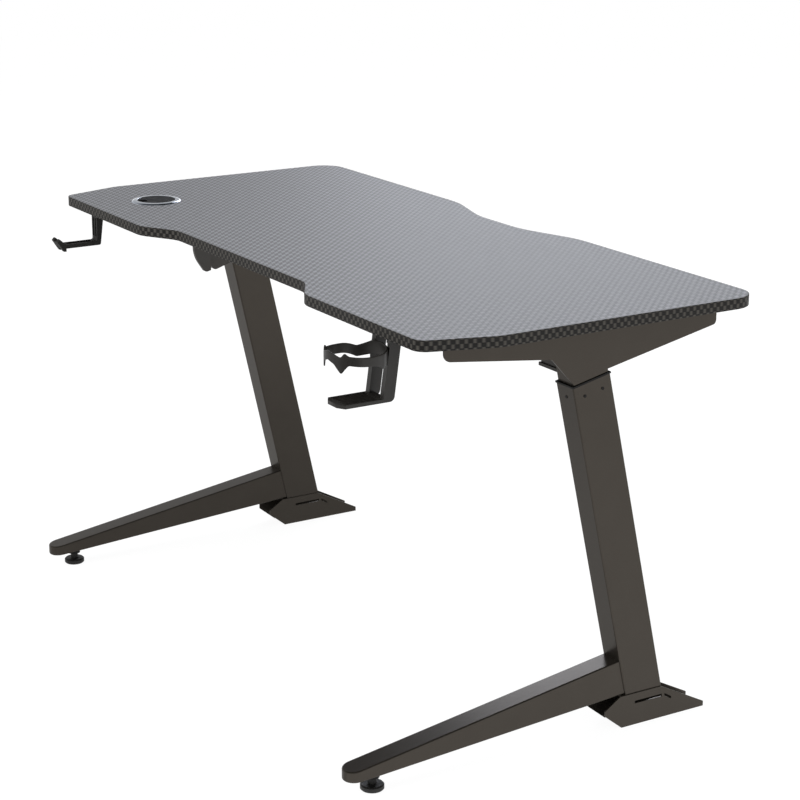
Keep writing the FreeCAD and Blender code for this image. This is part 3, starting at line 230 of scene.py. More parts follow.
@dataclass(frozen=True)
class GrainedFinish(Finish):
    """A finish whose colour, roughness and relief follow a fine grain over soft clouds.

    Lengths are in metres. The stretch draws the grain out into lines along the axis with the smallest number.
    Each span is the part of the noise over which colour or roughness goes from one end to the other.
    """

    light: str
    dark: str
    grain: float
    cloud: float
    relief: float
    smooth: float
    rough: float
    metallic: float = 0.0
    ior: float = 1.5
    specular: float = 0.5
    stretch: Point = (1.0, 1.0, 1.0)
    grain_detail: float = 3.0
    grain_falloff: float = 0.6
    cloud_detail: float = 2.0
    colour_span: Span = (0.7, 1.3)
    gloss_span: Span = (0.3, 0.7)
    relief_share: float = 0.5

    def paint(self, tree: bpy.types.NodeTree, shader: bpy.types.Node) -> None:
        """Mix the two colours by grain plus cloud, and raise the grain.

        Args:
            tree: the material's nodes.
            shader: the principled shader.
        """
        place = add_node(tree, "ShaderNodeTexCoord").outputs["Object"]
        drawn = add_node(tree, "ShaderNodeMapping", {"Vector": place, "Scale": self.stretch}).outputs[0]
        grain = add_node(tree, "ShaderNodeTexNoise",
                         {"Vector": drawn, "Scale": 1 / self.grain, "Detail": self.grain_detail,
                          "Roughness": self.grain_falloff}).outputs[0]
        cloud = add_node(tree, "ShaderNodeTexNoise",
                         {"Vector": place, "Scale": 1 / self.cloud, "Detail": self.cloud_detail}).outputs[0]
        tone = remap(tree, combine(tree, "ADD", grain, cloud), self.colour_span)
        colour = mix_colours(tree, tone, linear(self.dark), linear(self.light))
        gloss = remap(tree, cloud, self.gloss_span, (self.smooth, self.rough))
        raised = add_node(tree, "ShaderNodeBump", {"Height": grain, "Strength": self.relief_share,
                                                   "Distance": self.relief}).outputs[0]
        tree.links.new(colour, shader.inputs["Base Color"])
        tree.links.new(gloss, shader.inputs["Roughness"])
        tree.links.new(raised, shader.inputs["Normal"])
        shader.inputs["Metallic"].default_value = self.metallic
        shader.inputs["Specular IOR Level"].default_value = self.specular
        if not self.metallic:
            shader.inputs["IOR"].default_value = self.ior


@dataclass(frozen=True)
class CarbonPrint(Finish):
    """Melamine laminate printed with a plain carbon weave under a clear wearing layer.

    Warp and weft tows cross like a checker. Each tow is lightest along its middle, and fine fibres run along
    it. The tow's two lengths are its widths across x and y, and rows of cells are by turns darker and lighter
    by the row gain.
    """

    weave: Weave
    light: str
    light_rim: str
    dark: str
    dark_rim: str
    backing: str = "#26262A"
    tow: Span = (6.85 * MM, 7.0 * MM)
    row_gain: float = 0.12
    fibre: float = 0.9 * MM
    fibre_run: float = 14.0 * MM
    fibre_detail: float = 2.0
    fibre_span: Span = (0.25, 0.75)
    fibre_gain: Span = (0.8, 1.2)
    cell_middle: float = 0.5
    underside: float = 725.5 * MM
    row_start: float = 734.5 * MM
    relief: float = 0.05 * MM
    relief_share: float = 0.4
    light_rough: float = 0.6
    dark_rough: float = 0.5
    specular: float = 0.17

    def checker(self, tree: bpy.types.NodeTree, across: Any, along: Any) -> bpy.types.NodeSocket:
        """Tell every other cell from the cells between.

        Args:
            tree: the material's nodes.
            across: cells counted along x, or a fixed number for whole rows.
            along: cells counted along y.

        Returns:
            One or zero for each cell.
        """
        spot = add_node(tree, "ShaderNodeCombineXYZ", {0: across, 1: along, 2: self.cell_middle}).outputs[0]
        return add_node(tree, "ShaderNodeTexChecker", {"Vector": spot, "Scale": 1.0}).outputs["Fac"]

    def paint(self, tree: bpy.types.NodeTree, shader: bpy.types.Node) -> None:
        """Shade the warp across x, the weft across y, and choose between them with a checker.

        Args:
            tree: the material's nodes.
            shader: the principled shader.
        """
        source = add_node(tree, "ShaderNodeTexCoord")
        if self.weave is Weave.BOARD:
            plane, shift = source.outputs["Object"], (0.0, 0.0, 0.0)
        else:
            plane, shift = source.outputs["UV"], (0.0, -self.row_start, 0.0)
        place = add_node(tree, "ShaderNodeMapping", {"Vector": plane, "Location": shift}).outputs[0]
        axes = add_node(tree, "ShaderNodeSeparateXYZ", {0: place}).outputs
        cells, crowns, streaks = [], [], []
        for number, draw in ((0, (1 / self.fibre, 1 / self.fibre_run, 0.0)),
                             (1, (1 / self.fibre_run, 1 / self.fibre, 0.0))):
            half = self.tow[number] / 2
            cells.append(combine(tree, "MULTIPLY", axes[number], 1 / self.tow[number]))
            ridge = combine(tree, "PINGPONG", axes[number], half)
            crowns.append(remap(tree, ridge, (0.0, half), curve="SMOOTHSTEP"))
            drawn = add_node(tree, "ShaderNodeMapping", {"Vector": place, "Scale": draw}).outputs[0]
            streaks.append(add_node(tree, "ShaderNodeTexNoise", {"Vector": drawn, "Scale": 1.0,
                                                                 "Detail": self.fibre_detail}).outputs[0])
        warp = self.checker(tree, cells[0], cells[1])
        row = self.checker(tree, self.cell_middle, cells[1])
        light = mix_colours(tree, crowns[0], linear(self.light_rim), linear(self.light))
        dark = mix_colours(tree, crowns[1], linear(self.dark_rim), linear(self.dark))
        colour = mix_colours(tree, warp, dark, light)
        fibre = mix_numbers(tree, warp, streaks[1], streaks[0])
        crown = mix_numbers(tree, warp, crowns[1], crowns[0])
        sway = remap(tree, row, (0.0, 1.0), (1 - self.row_gain, 1 + self.row_gain))
        gain = combine(tree, "MULTIPLY", remap(tree, fibre, self.fibre_span, self.fibre_gain), sway)
        colour = mix_colours(tree, 1.0, colour, gain, "MULTIPLY")
        if self.weave is Weave.BOARD:
            upper = combine(tree, "GREATER_THAN", axes[2], self.underside)
            colour = mix_colours(tree, upper, linear(self.backing), colour)
        gloss = mix_numbers(tree, warp, self.dark_rough, self.light_rough)
        raised = add_node(tree, "ShaderNodeBump", {"Height": crown, "Strength": self.relief_share,
                                                   "Distance": self.relief}).outputs[0]
        tree.links.new(colour, shader.inputs["Base Color"])
        tree.links.new(gloss, shader.inputs["Roughness"])
        tree.links.new(raised, shader.inputs["Normal"])
        shader.inputs["Specular IOR Level"].default_value = self.specular


# Carbon-print laminate: a checker of lighter and darker grey tows under a matt clear layer.
LAMINATE = CarbonPrint("carbon_print_laminate", Weave.BOARD, "#8C8D91", "#7D7E82", "#5E5F61", "#505153")
# The same print on a wrapped edge: nearly black, with a checker of warm grey cells.
EDGE_BAND = CarbonPrint("carbon_print_edge_band", Weave.EDGE, "#4E4B46", "#343230", "#1F1E1C", "#151413",
                        tow=(6.8 * MM, 6.8 * MM), row_gain=0.0, light_rough=0.58, dark_rough=0.61,
                        specular=0.25)
# Powder-coated steel: warm dark grey with a metal flake, satin, with a faint orange peel drawn a little
# coarser than real.
POWDER_COAT = GrainedFinish("powder_coated_steel", "#46413B", "#433E38", 1.2 * MM, 60 * MM, 0.02 * MM,
                            0.29, 0.32, metallic=0.75)
# Powder-coated die casting: the same grey over a sandier skin.
CASTING = GrainedFinish("powder_coated_casting", "#2C2721", "#221E1A", 1.6 * MM, 25 * MM, 0.05 * MM,
                        0.42, 0.55)
# Moulded ABS of the motor housing: spark-eroded grain, a shade duller than the steel.
HOUSING_ABS = GrainedFinish("moulded_grey_abs", "#3F3A34", "#35312C", 0.9 * MM, 30 * MM, 0.03 * MM,
                            0.34, 0.44)
# Moulded nylon: deep black with a soft, slightly waxy shine.
NYLON = GrainedFinish("moulded_black_nylon", "#171615", "#0D0D0C", 1.1 * MM, 18 * MM, 0.02 * MM, 0.4, 0.55,
                      ior=1.53, specular=0.2)
# Moulded black ABS: satin black, bright only along its edges.
BLACK_ABS = GrainedFinish("moulded_black_abs", "#292724", "#1F1D1B", 0.9 * MM, 22 * MM, 0.03 * MM, 0.3, 0.38,
                          specular=0.4)
# Hook: glass-filled nylon, a shade greyer and more matt than the guides' plain nylon.
FILLED_NYLON = GrainedFinish("moulded_filled_nylon", "#22201E", "#191816", 1.0 * MM, 18 * MM, 0.03 * MM,
                             0.45, 0.6, ior=1.53, specular=0.2)
# Cap of the cable grommet: charcoal ABS with a coarse grain for grip.
CAP_ABS = GrainedFinish("grained_charcoal_abs", "#1A1B1D", "#0E0F10", 1.8 * MM, 12 * MM, 0.08 * MM, 0.5, 0.65,
                        specular=0.08)
# Buttons: dark grey ABS, dulled where fingers press.
BUTTON_ABS = GrainedFinish("moulded_button_abs", "#434346", "#333336", 0.7 * MM, 8 * MM, 0.02 * MM,
                           0.35, 0.55)
# Glide pads: matt black polyethylene with a dusty look.
GLIDE_PLASTIC = GrainedFinish("moulded_black_polyethylene", "#1D1C1B", "#121211", 1.4 * MM, 10 * MM,
                              0.04 * MM, 0.5, 0.7, ior=1.51)
# Polished chrome plate: a mirror with hair-fine polishing lines.
CHROME = GrainedFinish("polished_chrome_plate", "#DDE3EC", "#C2CBD9", 0.8 * MM, 20 * MM, 0.002 * MM,
                       0.05, 0.12, metallic=1.0, stretch=(1.0, 1.0, 0.2))
# Zinc-plated steel: pale, slightly blue metal with drawn lines.
ZINC = GrainedFinish("zinc_plated_steel", "#C6C9CE", "#A3A7AE", 0.9 * MM, 14 * MM, 0.01 * MM, 0.24, 0.4,
                     metallic=1.0, stretch=(1.0, 1.0, 0.15))
# Black-zinc screws: dark metal with a soft grey sheen.
BLACK_ZINC = GrainedFinish("black_zinc_steel", "#2B2A29", "#191918", 0.6 * MM, 6 * MM, 0.01 * MM, 0.34, 0.5,
                           metallic=0.8)
# Turned brass of the lift nuts: yellow metal ringed by the lathe tool.
BRASS = GrainedFinish("turned_brass", "#C9A35C", "#9C7A3C", 0.5 * MM, 9 * MM, 0.015 * MM, 0.22, 0.36,
                      metallic=1.0, stretch=(0.15, 0.15, 1.0))


# Surfaces


@dataclass
class Surface:
    """Points and faces of a new piece, with an optional running length and height for each face corner."""

    points: np.ndarray
    faces: np.ndarray
    corners: np.ndarray | None = None


def grid_faces(rows: int, columns: int, round_rows: bool, round_columns: bool) -> np.ndarray:
    """Number the quads of a grid whose points lie row after row.

    Args:
        rows: rows of points.
        columns: points in a row.
        round_rows: whether the last row joins the first.
        round_columns: whether each row's end joins its start.

    Returns:
        One row of four point numbers for each quad.
    """
    row = np.arange(rows if round_rows else rows - 1)[:, None]
    column = np.arange(columns if round_columns else columns - 1)[None, :]
    next_row, next_column = (row + 1) % rows, (column + 1) % columns
    quads = [row * columns + column, row * columns + next_column,
             next_row * columns + next_column, next_row * columns + column]
    return np.stack(np.broadcast_arrays(*quads), axis=-1).reshape(-1, 4)


def lathe(outline: np.ndarray, centre: Point, steps: int) -> Surface:
    """Turn a closed outline round a vertical line.

    The point at angle a of outline point (r, h) is centre + (r cos a, r sin a, h).

    Args:
        outline: rows of radius and height, anticlockwise with the radius to the right.
        centre: place of the line's zero height.
        steps: steps in a full turn.

    Returns:
        The closed surface.
    """
    angle = np.linspace(0.0, 2 * math.pi, steps, endpoint=False)[:, None]
    radius = outline[:, 0][None, :]
    height = np.broadcast_to(outline[:, 1][None, :], (steps, len(outline)))
    spots = np.stack([radius * np.cos(angle), radius * np.sin(angle), height], axis=-1)
    faces = grid_faces(steps, len(outline), True, True)[:, ::-1]
    return Surface(spots.reshape(-1, 3) + np.array(centre), faces)


def triangles(node: str) -> tuple[np.ndarray, np.ndarray]:
    """Read a CAD node's mesh as arrays.

    Args:
        node: the node's name.

    Returns:
        The points, and three point numbers for each triangle.
    """
    mesh = frame["nodes"][node].data
    mesh.calc_loop_triangles()
    points = np.empty(len(mesh.vertices) * 3)
    mesh.vertices.foreach_get("co", points)
    corners = np.empty(len(mesh.loop_triangles) * 3, dtype=np.int32)
    mesh.loop_triangles.foreach_get("vertices", corners)
    return points.reshape(-1, 3), corners.reshape(-1, 3)


# Sub-assemblies


BODY_OF = {node: body for body, nodes in frame["record"]["behaviour"]["bodies"].items() for node in nodes}


class SubAssembly:
    """Shared handwork: coat a CAD node, soften it, or fit a new surface in its place."""

    WELD = 0.002 * MM
    FLAT = math.radians(0.5)
    SHARP = math.radians(35)
    CREASE = math.radians(40)
    ROUNDING_STEPS = 2

    def coat(self, finish: Finish, *nodes: str) -> None:
        """Give CAD nodes a finish and keep their shape.

        Args:
            finish: the finish.
            nodes: names of the nodes.
        """
        for node in nodes:
            for holder in frame["nodes"][node].material_slots:
                holder.material = finish.material()
            LOG.info("%s: %s", node, finish.name)

    def soften(self, finish: Finish, arris: float, *nodes: str) -> None:
        """Stand a copy of each CAD node in its place, with its sharp edges rounded as by paint or a mould.

        Args:
            finish: the finish.
            arris: width of the rounding, in metres.
            nodes: names of the nodes.
        """
        for node in nodes:
            points, corners = triangles(node)
            piece = self.fit(f"{node}_softened", Surface(points, corners), finish, node)
            work = bmesh.new()
            work.from_mesh(piece.data)
            bmesh.ops.remove_doubles(work, verts=work.verts, dist=self.WELD)
            bmesh.ops.dissolve_limit(work, angle_limit=self.FLAT, verts=work.verts, edges=work.edges)
            work.to_mesh(piece.data)
            work.free()
            piece.data.shade_smooth()
            rounding = piece.modifiers.new("arris", "BEVEL")
            rounding.width = arris
            rounding.segments = self.ROUNDING_STEPS
            rounding.limit_method = "ANGLE"
            rounding.angle_limit = self.SHARP
            rounding.harden_normals = True

    def fit(self, name: str, surface: Surface, finish: Finish, node: str,
            hides: bool = True) -> bpy.types.Object:
        """Make a surface a piece that rides with a CAD node.

        Args:
            name: the new piece's name.
            surface: its points and faces.
            finish: its finish.
            node: CAD node that it belongs to.
            hides: whether it stands in that node's place.

        Returns:
            The new piece.
        """
        mesh = bpy.data.meshes.new(name)
        mesh.from_pydata(surface.points.tolist(), [], surface.faces.tolist())
        if surface.corners is not None:
            run = mesh.uv_layers.new(name="run")
            run.uv.foreach_set("vector", surface.corners.astype(np.float32).ravel())
        mesh.shade_smooth()
        mesh.set_sharp_from_angle(angle=self.CREASE)
        piece = bpy.data.objects.new(name, mesh)
        mesh.materials.append(finish.material())
        bpy.context.scene.collection.objects.link(piece)
        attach(piece, BODY_OF[node])
        if hides:
            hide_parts(node)
        LOG.info("%s: %d faces, %s", name, len(surface.faces), finish.name)
        return piece


@dataclass
class Desktop(SubAssembly):
    """The laminated board and the edge band that wraps it."""

    band: float = 1.2 * MM
    arris: float = 0.5 * MM
    arris_steps: int = 5
    repeat: float = 13.6 * MM
    upright_share: float = 0.01
    decimals: int = 6

    def outline(self) -> np.ndarray:
        """Read the band's outer outline from its CAD node, anticlockwise seen from above.

        The outer walls are the upright faces that look away from the middle, and since every point of the
        outline can be seen from the middle, its order is the order of the angles.

        Returns:
            One row of x and y for each point.
        """
        points, corners = triangles("desktop_edge_band")
        low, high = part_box("desktop_edge_band")
        middle = (np.array(low) + np.array(high)) / 2
        spots = points[corners]
        normal = np.cross(spots[:, 1] - spots[:, 0], spots[:, 2] - spots[:, 0])
        away = spots.mean(axis=1) - middle
        upright = np.abs(normal[:, 2]) < self.upright_share * np.linalg.norm(normal, axis=1)
        outer = upright & ((normal[:, :2] * away[:, :2]).sum(axis=1) > 0)
        loop = np.unique(np.round(spots[outer].reshape(-1, 3)[:, :2], self.decimals), axis=0)
        return loop[np.argsort(np.arctan2(loop[:, 1] - middle[1], loop[:, 0] - middle[0]))]

    def wrap(self) -> Surface:
        """Carry a strip with two rounded corners round the board's outline.

        Each outline point p has a mitre m, the sum of its two sides' outward normals over one plus their
        product, and the strip's point at inset i and height h is p - i m, h. The running length is the length
        walked, stretched a little so that the print's repeat closes on itself.

        Returns:
            The closed strip.
        """
        low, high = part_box("desktop_edge_band")
        loop = self.outline()
        step = np.roll(loop, -1, axis=0) - loop
        length = np.linalg.norm(step, axis=1, keepdims=True)
        normal = np.stack([step[:, 1], -step[:, 0]], axis=1) / length
        before = np.roll(normal, 1, axis=0)
        mitre = (normal + before) / (1 + (normal * before).sum(axis=1, keepdims=True))
        turn = np.linspace(0.0, math.pi / 2, self.arris_steps)
        rise_in, turn_in = self.arris * (1 - np.sin(turn)), self.arris * (1 - np.cos(turn))
        inset = np.concatenate([[self.band], rise_in, turn_in, [self.band]])
        drop = np.concatenate([[0.0], turn_in])
        height = np.concatenate([high[2] - drop, low[2] + rise_in, [low[2]]])
        flat = loop[:, None, :] - inset[None, :, None] * mitre[:, None, :]
        rise = np.broadcast_to(height[None, :, None], flat.shape[:2] + (1,))
        faces = grid_faces(len(loop), len(inset), True, True)
        walked = np.concatenate([[0.0], np.cumsum(length[:, 0])])
        walked *= np.round(walked[-1] / self.repeat) * self.repeat / walked[-1]
        row, column = np.divmod(np.arange(len(faces)), len(inset))
        after = (column + 1) % len(inset)
        runs = np.stack([walked[row], walked[row], walked[row + 1], walked[row + 1]], axis=1)
        heights = np.stack([height[column], height[after], height[after], height[column]], axis=1)
        corners = np.stack([runs, heights], axis=-1)
        return Surface(np.concatenate([flat, rise], axis=-1).reshape(-1, 3), faces, corners)

    def build(self) -> None:
        """Coat the board and wrap its edge."""
        self.coat(LAMINATE, "desktop_board")
        self.fit("edge_band_wrap", self.wrap(), EDGE_BAND, "desktop_edge_band")


@dataclass
class Grommet(SubAssembly):
    """Chrome bezel let into the desktop, and the cap that turns in it."""

    bore: float = 37.0 * MM
    ledge: float = 34.0 * MM
    sleeve: float = 40.0 * MM
    crown: float = 41.5 * MM
    rim: float = 48.0 * MM
    cap_drop: float = 4.0 * MM
    rim_height: float = 3.0 * MM
    lip: float = 0.8 * MM
    cap_arris: float = 0.5 * MM
    steps: int = 160
    rim_steps: int = 14

    def bezel(self) -> np.ndarray:
        """Draw the bezel's outline: a quarter ellipse for the rim, a rounded lip, the cap's ledge and sleeve.

        Returns:
            Rows of radius and height above the rim's foot.
        """
        low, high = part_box("grommet_ring")
        depth = low[2] - high[2] + self.rim_height
        turn = np.linspace(0.0, math.pi / 2, self.rim_steps)
        rim = np.stack([self.crown + (self.rim - self.crown) * np.cos(turn),
                        self.rim_height * np.sin(turn)], axis=1)
        lip = np.stack([self.bore + self.lip * (1 - np.sin(turn)),
                        self.rim_height - self.lip * (1 - np.cos(turn))], axis=1)
        seat = self.rim_height - self.cap_drop
        inside = np.array([[self.bore, seat], [self.ledge, seat], [self.ledge, depth],
                           [self.sleeve, depth], [self.sleeve, 0.0]])
        return np.concatenate([rim, lip, inside])

    def build(self) -> None:
        """Turn the bezel and soften the cap."""
        low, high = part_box("grommet_ring")
        centre = ((low[0] + high[0]) / 2, (low[1] + high[1]) / 2, high[2] - self.rim_height)
        self.fit("grommet_bezel", lathe(self.bezel(), centre, self.steps), CHROME, "grommet_ring")
        self.soften(CAP_ABS, self.cap_arris, "grommet_cap")


@dataclass
class LiftingLeg(SubAssembly):
    """One telescopic leg with its foot, heel, glide and lifting screw."""

    side: Side
    sheet_arris: float = 0.7 * MM

    def build(self) -> None:
        """Dress every piece of the leg."""
        hand = self.side.value
        steel = ("outer_column", "inner_column", "foot", "column_plate")
        fixings = ("guide_screws", "heel_bolts", "foot_bolts", "bracket_screws", "glide_insert")
        self.coat(POWDER_COAT, *(f"{hand}_{kind}" for kind in steel))
        self.soften(POWDER_COAT, self.sheet_arris, f"{hand}_heel_base", f"{hand}_top_bracket")
        self.coat(NYLON, f"{hand}_guide_sleeve", f"{hand}_bearing_block")
        self.coat(GLIDE_PLASTIC, f"{hand}_glide")
        self.coat(ZINC, f"{hand}_lift_tube", f"{hand}_spindle")
        self.coat(BRASS, f"{hand}_lift_nut")
        self.coat(BLACK_ZINC, *(f"{hand}_{kind}" for kind in fixings))
        self.soften(CASTING, self.sheet_arris, f"{hand}_gearbox")


@dataclass
class Underframe(SubAssembly):
    """Rails between the legs, and the drive that turns both lifting screws."""

    rail_arris: float = 0.5 * MM
    housing_arris: float = 1.0 * MM

    def build(self) -> None:
        """Dress rails, bolts, motor and cross shaft."""
        self.soften(POWDER_COAT, self.rail_arris, "front_rail", "rear_rail")
        self.soften(HOUSING_ABS, self.housing_arris, "motor_housing")
        self.coat(ZINC, "drive_motor", "drive_shaft")
        self.coat(BLACK_ZINC, "rail_bolts")


@dataclass
class Controls(SubAssembly):
    """Control box and hand switch under the desktop."""

    case_arris: float = 1.2 * MM
    button_arris: float = 0.8 * MM

    def build(self) -> None:
        """Dress the boxes, their buttons and screws."""
        self.soften(BLACK_ABS, self.case_arris, "control_box", "hand_switch")
        self.soften(BUTTON_ABS, self.button_arris, "up_button", "down_button")
        self.coat(BLACK_ZINC, "control_box_screws", "hand_switch_screws")


@dataclass
class HeadphoneHook(SubAssembly):
    """Moulded hook for headphones under the front edge."""

    arris: float = 0.8 * MM

    def build(self) -> None:
        """Soften the hook and dress its screws."""
        self.soften(FILLED_NYLON, self.arris, "headphone_hook")
        self.coat(BLACK_ZINC, "headphone_hook_screws")


@dataclass
class CupHolder(SubAssembly):
    """Moulded cup holder: arms, ribbed tray and a ring with fanged edges."""

    arris: float = 0.8 * MM
    wall: float = 2.5 * MM
    middle: float = 700.0 * MM
    height: float = 16.0 * MM
    ring_steps: int = 360
    wall_steps: int = 10
    soft_steps: int = 5
    round_steps: int = 9
    ribs: int = 7
    rib_steps: int = 33
    rib_sides: int = 16
    rib_front: float = 12.5 * MM
    rib_back: float = 69.5 * MM
    rib_end: float = 0.1
    rib_tip: float = 0.02
    rib_half: float = 1.3 * MM
    rib_height: float = 1.5 * MM
    tray_margin: float = 6.5 * MM
    tray_floor: float = 4.0 * MM

    def edges(self, angle: np.ndarray) -> tuple[np.ndarray, np.ndarray]:
        """Work out the ring's lower and upper edge, as heights at each angle.

        Heights are shares of the ring's height, tabled against the cosine of the angle for the front half and
        for the back half, joined by straight lines and then averaged over neighbouring angles to round the
        points.

        Args:
            angle: angles round the ring from +X.

        Returns:
            Lower and upper heights.
        """
        front_low = ((-1.0, -0.74, -0.545, -0.3, 0.0, 0.3, 0.545, 0.74, 1.0),
                     (-0.56, -0.34, -1.25, -0.36, -0.06, -0.36, -1.25, -0.34, -0.5))
        front_top = ((-1.0, -0.74, -0.64, -0.53, -0.25, 0.0, 0.25, 0.53, 0.64, 0.74, 1.0),
                     (0.44, 0.56, 0.88, 0.38, 0.7, 0.81, 0.7, 0.38, 0.88, 0.56, 0.44))
        back_low = ((-1.0, -0.86, -0.44, 0.0, 0.5, 0.86, 1.0),
                    (-0.56, -1.0, -0.56, -0.62, -0.81, -1.06, -0.5))
        back_top = ((-1.0, -0.86, -0.44, 0.0, 0.5, 1.0),
                    (0.44, 0.12, 0.81, 0.75, 0.62, 0.44))
        share, front = np.cos(angle), np.sin(angle) < 0
        low = np.where(front, np.interp(share, *front_low), np.interp(share, *back_low))
        top = np.where(front, np.interp(share, *front_top), np.interp(share, *back_top))
        shifts = range(-self.soft_steps // 2, self.soft_steps // 2 + 1)
        low = np.mean([np.roll(low, shift) for shift in shifts], axis=0)
        top = np.mean([np.roll(top, shift) for shift in shifts], axis=0)
        return self.middle + self.height * low, self.middle + self.height * top

    def ring(self) -> Surface:
        """Bend a wall with round edges into a ring whose edges rise and fall.

        The wall's section is two upright sides joined by half circles of half the wall's thickness w. Its
        point with share s of the height, offset o and lift d lies at radius R - w/2 + o, where R is the
        ring's outer radius, and at height low + w/2 + s (top - low - w) + d.

        Returns:
            The closed ring.
        """
        low_corner, high_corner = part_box("cup_holder_ring")
        centre = (np.array(low_corner) + np.array(high_corner))[:2] / 2
        radius = (high_corner[0] - low_corner[0]) / 2 - self.wall / 2
        angle = np.linspace(0.0, 2 * math.pi, self.ring_steps, endpoint=False)
        low, top = self.edges(angle)
        half, climb = self.wall / 2, np.linspace(0.0, 1.0, self.wall_steps)
        turn = np.linspace(0.0, math.pi, self.round_steps)[1:-1]
        share = np.concatenate([climb, np.ones_like(turn), climb[::-1], np.zeros_like(turn)])
        offset = np.concatenate([np.full_like(climb, half), half * np.cos(turn),
                                 np.full_like(climb, -half), -half * np.cos(turn)])
        lift = np.concatenate([np.zeros_like(climb), half * np.sin(turn),
                               np.zeros_like(climb), -half * np.sin(turn)])
        reach = radius + offset[None, :]
        height = low[:, None] + half + share[None, :] * (top - low - self.wall)[:, None] + lift[None, :]
        spots = np.stack([centre[0] + reach * np.cos(angle)[:, None],
                          centre[1] + reach * np.sin(angle)[:, None], height], axis=-1)
        return Surface(spots.reshape(-1, 3), grid_faces(len(angle), len(share), True, True)[:, ::-1])

    def tray_ribs(self) -> Surface:
        """Lay low round ribs side by side on the tray.

        A rib's section is an ellipse, half in the tray, carried along y and drawn in at both ends by the
        square root of one minus the square of the share of the end's length.

        Returns:
            All ribs as one surface.
        """
        low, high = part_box("cup_holder_frame")
        along = np.linspace(-1.0, 1.0, self.rib_steps)
        past = np.clip(np.abs(along) - (1 - self.rib_end), 0, 1) / self.rib_end
        taper = np.maximum(np.sqrt(np.clip(1 - past ** 2, 0, 1)), self.rib_tip)
        turn = np.linspace(0.0, 2 * math.pi, self.rib_sides, endpoint=False)
        start, end = low[1] + self.rib_front, low[1] + self.rib_back
        spread = np.linspace(low[0] + self.tray_margin, high[0] - self.tray_margin, self.ribs)
        shape = (self.ribs, len(along), len(turn))
        x = spread[:, None, None] + self.rib_half * taper[None, :, None] * np.cos(turn)[None, None, :]
        y = np.broadcast_to(((start + end) / 2 + (end - start) / 2 * along)[None, :, None], shape)
        rise = self.rib_height * taper[None, :, None] * np.sin(turn)[None, None, :]
        z = np.broadcast_to(low[2] + self.tray_floor + rise, shape)
        one = grid_faces(len(along), len(turn), False, True)
        faces = (one[None] + (np.arange(self.ribs) * len(along) * len(turn))[:, None, None]).reshape(-1, 4)
        return Surface(np.stack([x, y, z], axis=-1).reshape(-1, 3), faces)

    def build(self) -> None:
        """Build the ring and ribs, and soften the frame that holds them."""
        self.fit("cup_ring_band", self.ring(), BLACK_ABS, "cup_holder_ring")
        self.fit("cup_tray_ribs", self.tray_ribs(), BLACK_ABS, "cup_holder_frame", hides=False)
        self.soften(BLACK_ABS, self.arris, "cup_holder_frame")
        self.coat(BLACK_ZINC, "cup_holder_screws")


# Studio


@dataclass(frozen=True)
class SoftBox:
    """A rectangular studio light, with the brightness that it gives a white card at the desk."""

    name: str
    place: Point
    width: float
    height: float
    level: float
    mirrored: bool = False
    tint: str = "#FFFFFF"
    target: Point = (0.0, 0.0, 0.45)

    def hang(self) -> None:
        """Hang the light and turn it to its target."""
        lamp = bpy.data.lights.new(self.name, "AREA")
        lamp.shape = "RECTANGLE"
        lamp.size, lamp.size_y = self.width, self.height
        way = Vector(self.target) - Vector(self.place)
        lamp.color = linear(self.tint)[:3]
        lamp.energy = self.level * math.pi ** 2 * way.length_squared
        holder = bpy.data.objects.new(self.name, lamp)
        holder.location = self.place
        holder.rotation_euler = way.to_track_quat("-Z", "Y").to_euler()
        holder.visible_camera = False
        holder.visible_glossy = self.mirrored
        bpy.context.scene.collection.objects.link(holder)


@dataclass(frozen=True)
class Card:
    """A flat card just above the floor, with two of its corners and its brightness in reflections."""

    name: str
    low: Span | Point
    high: Span | Point
    level: float


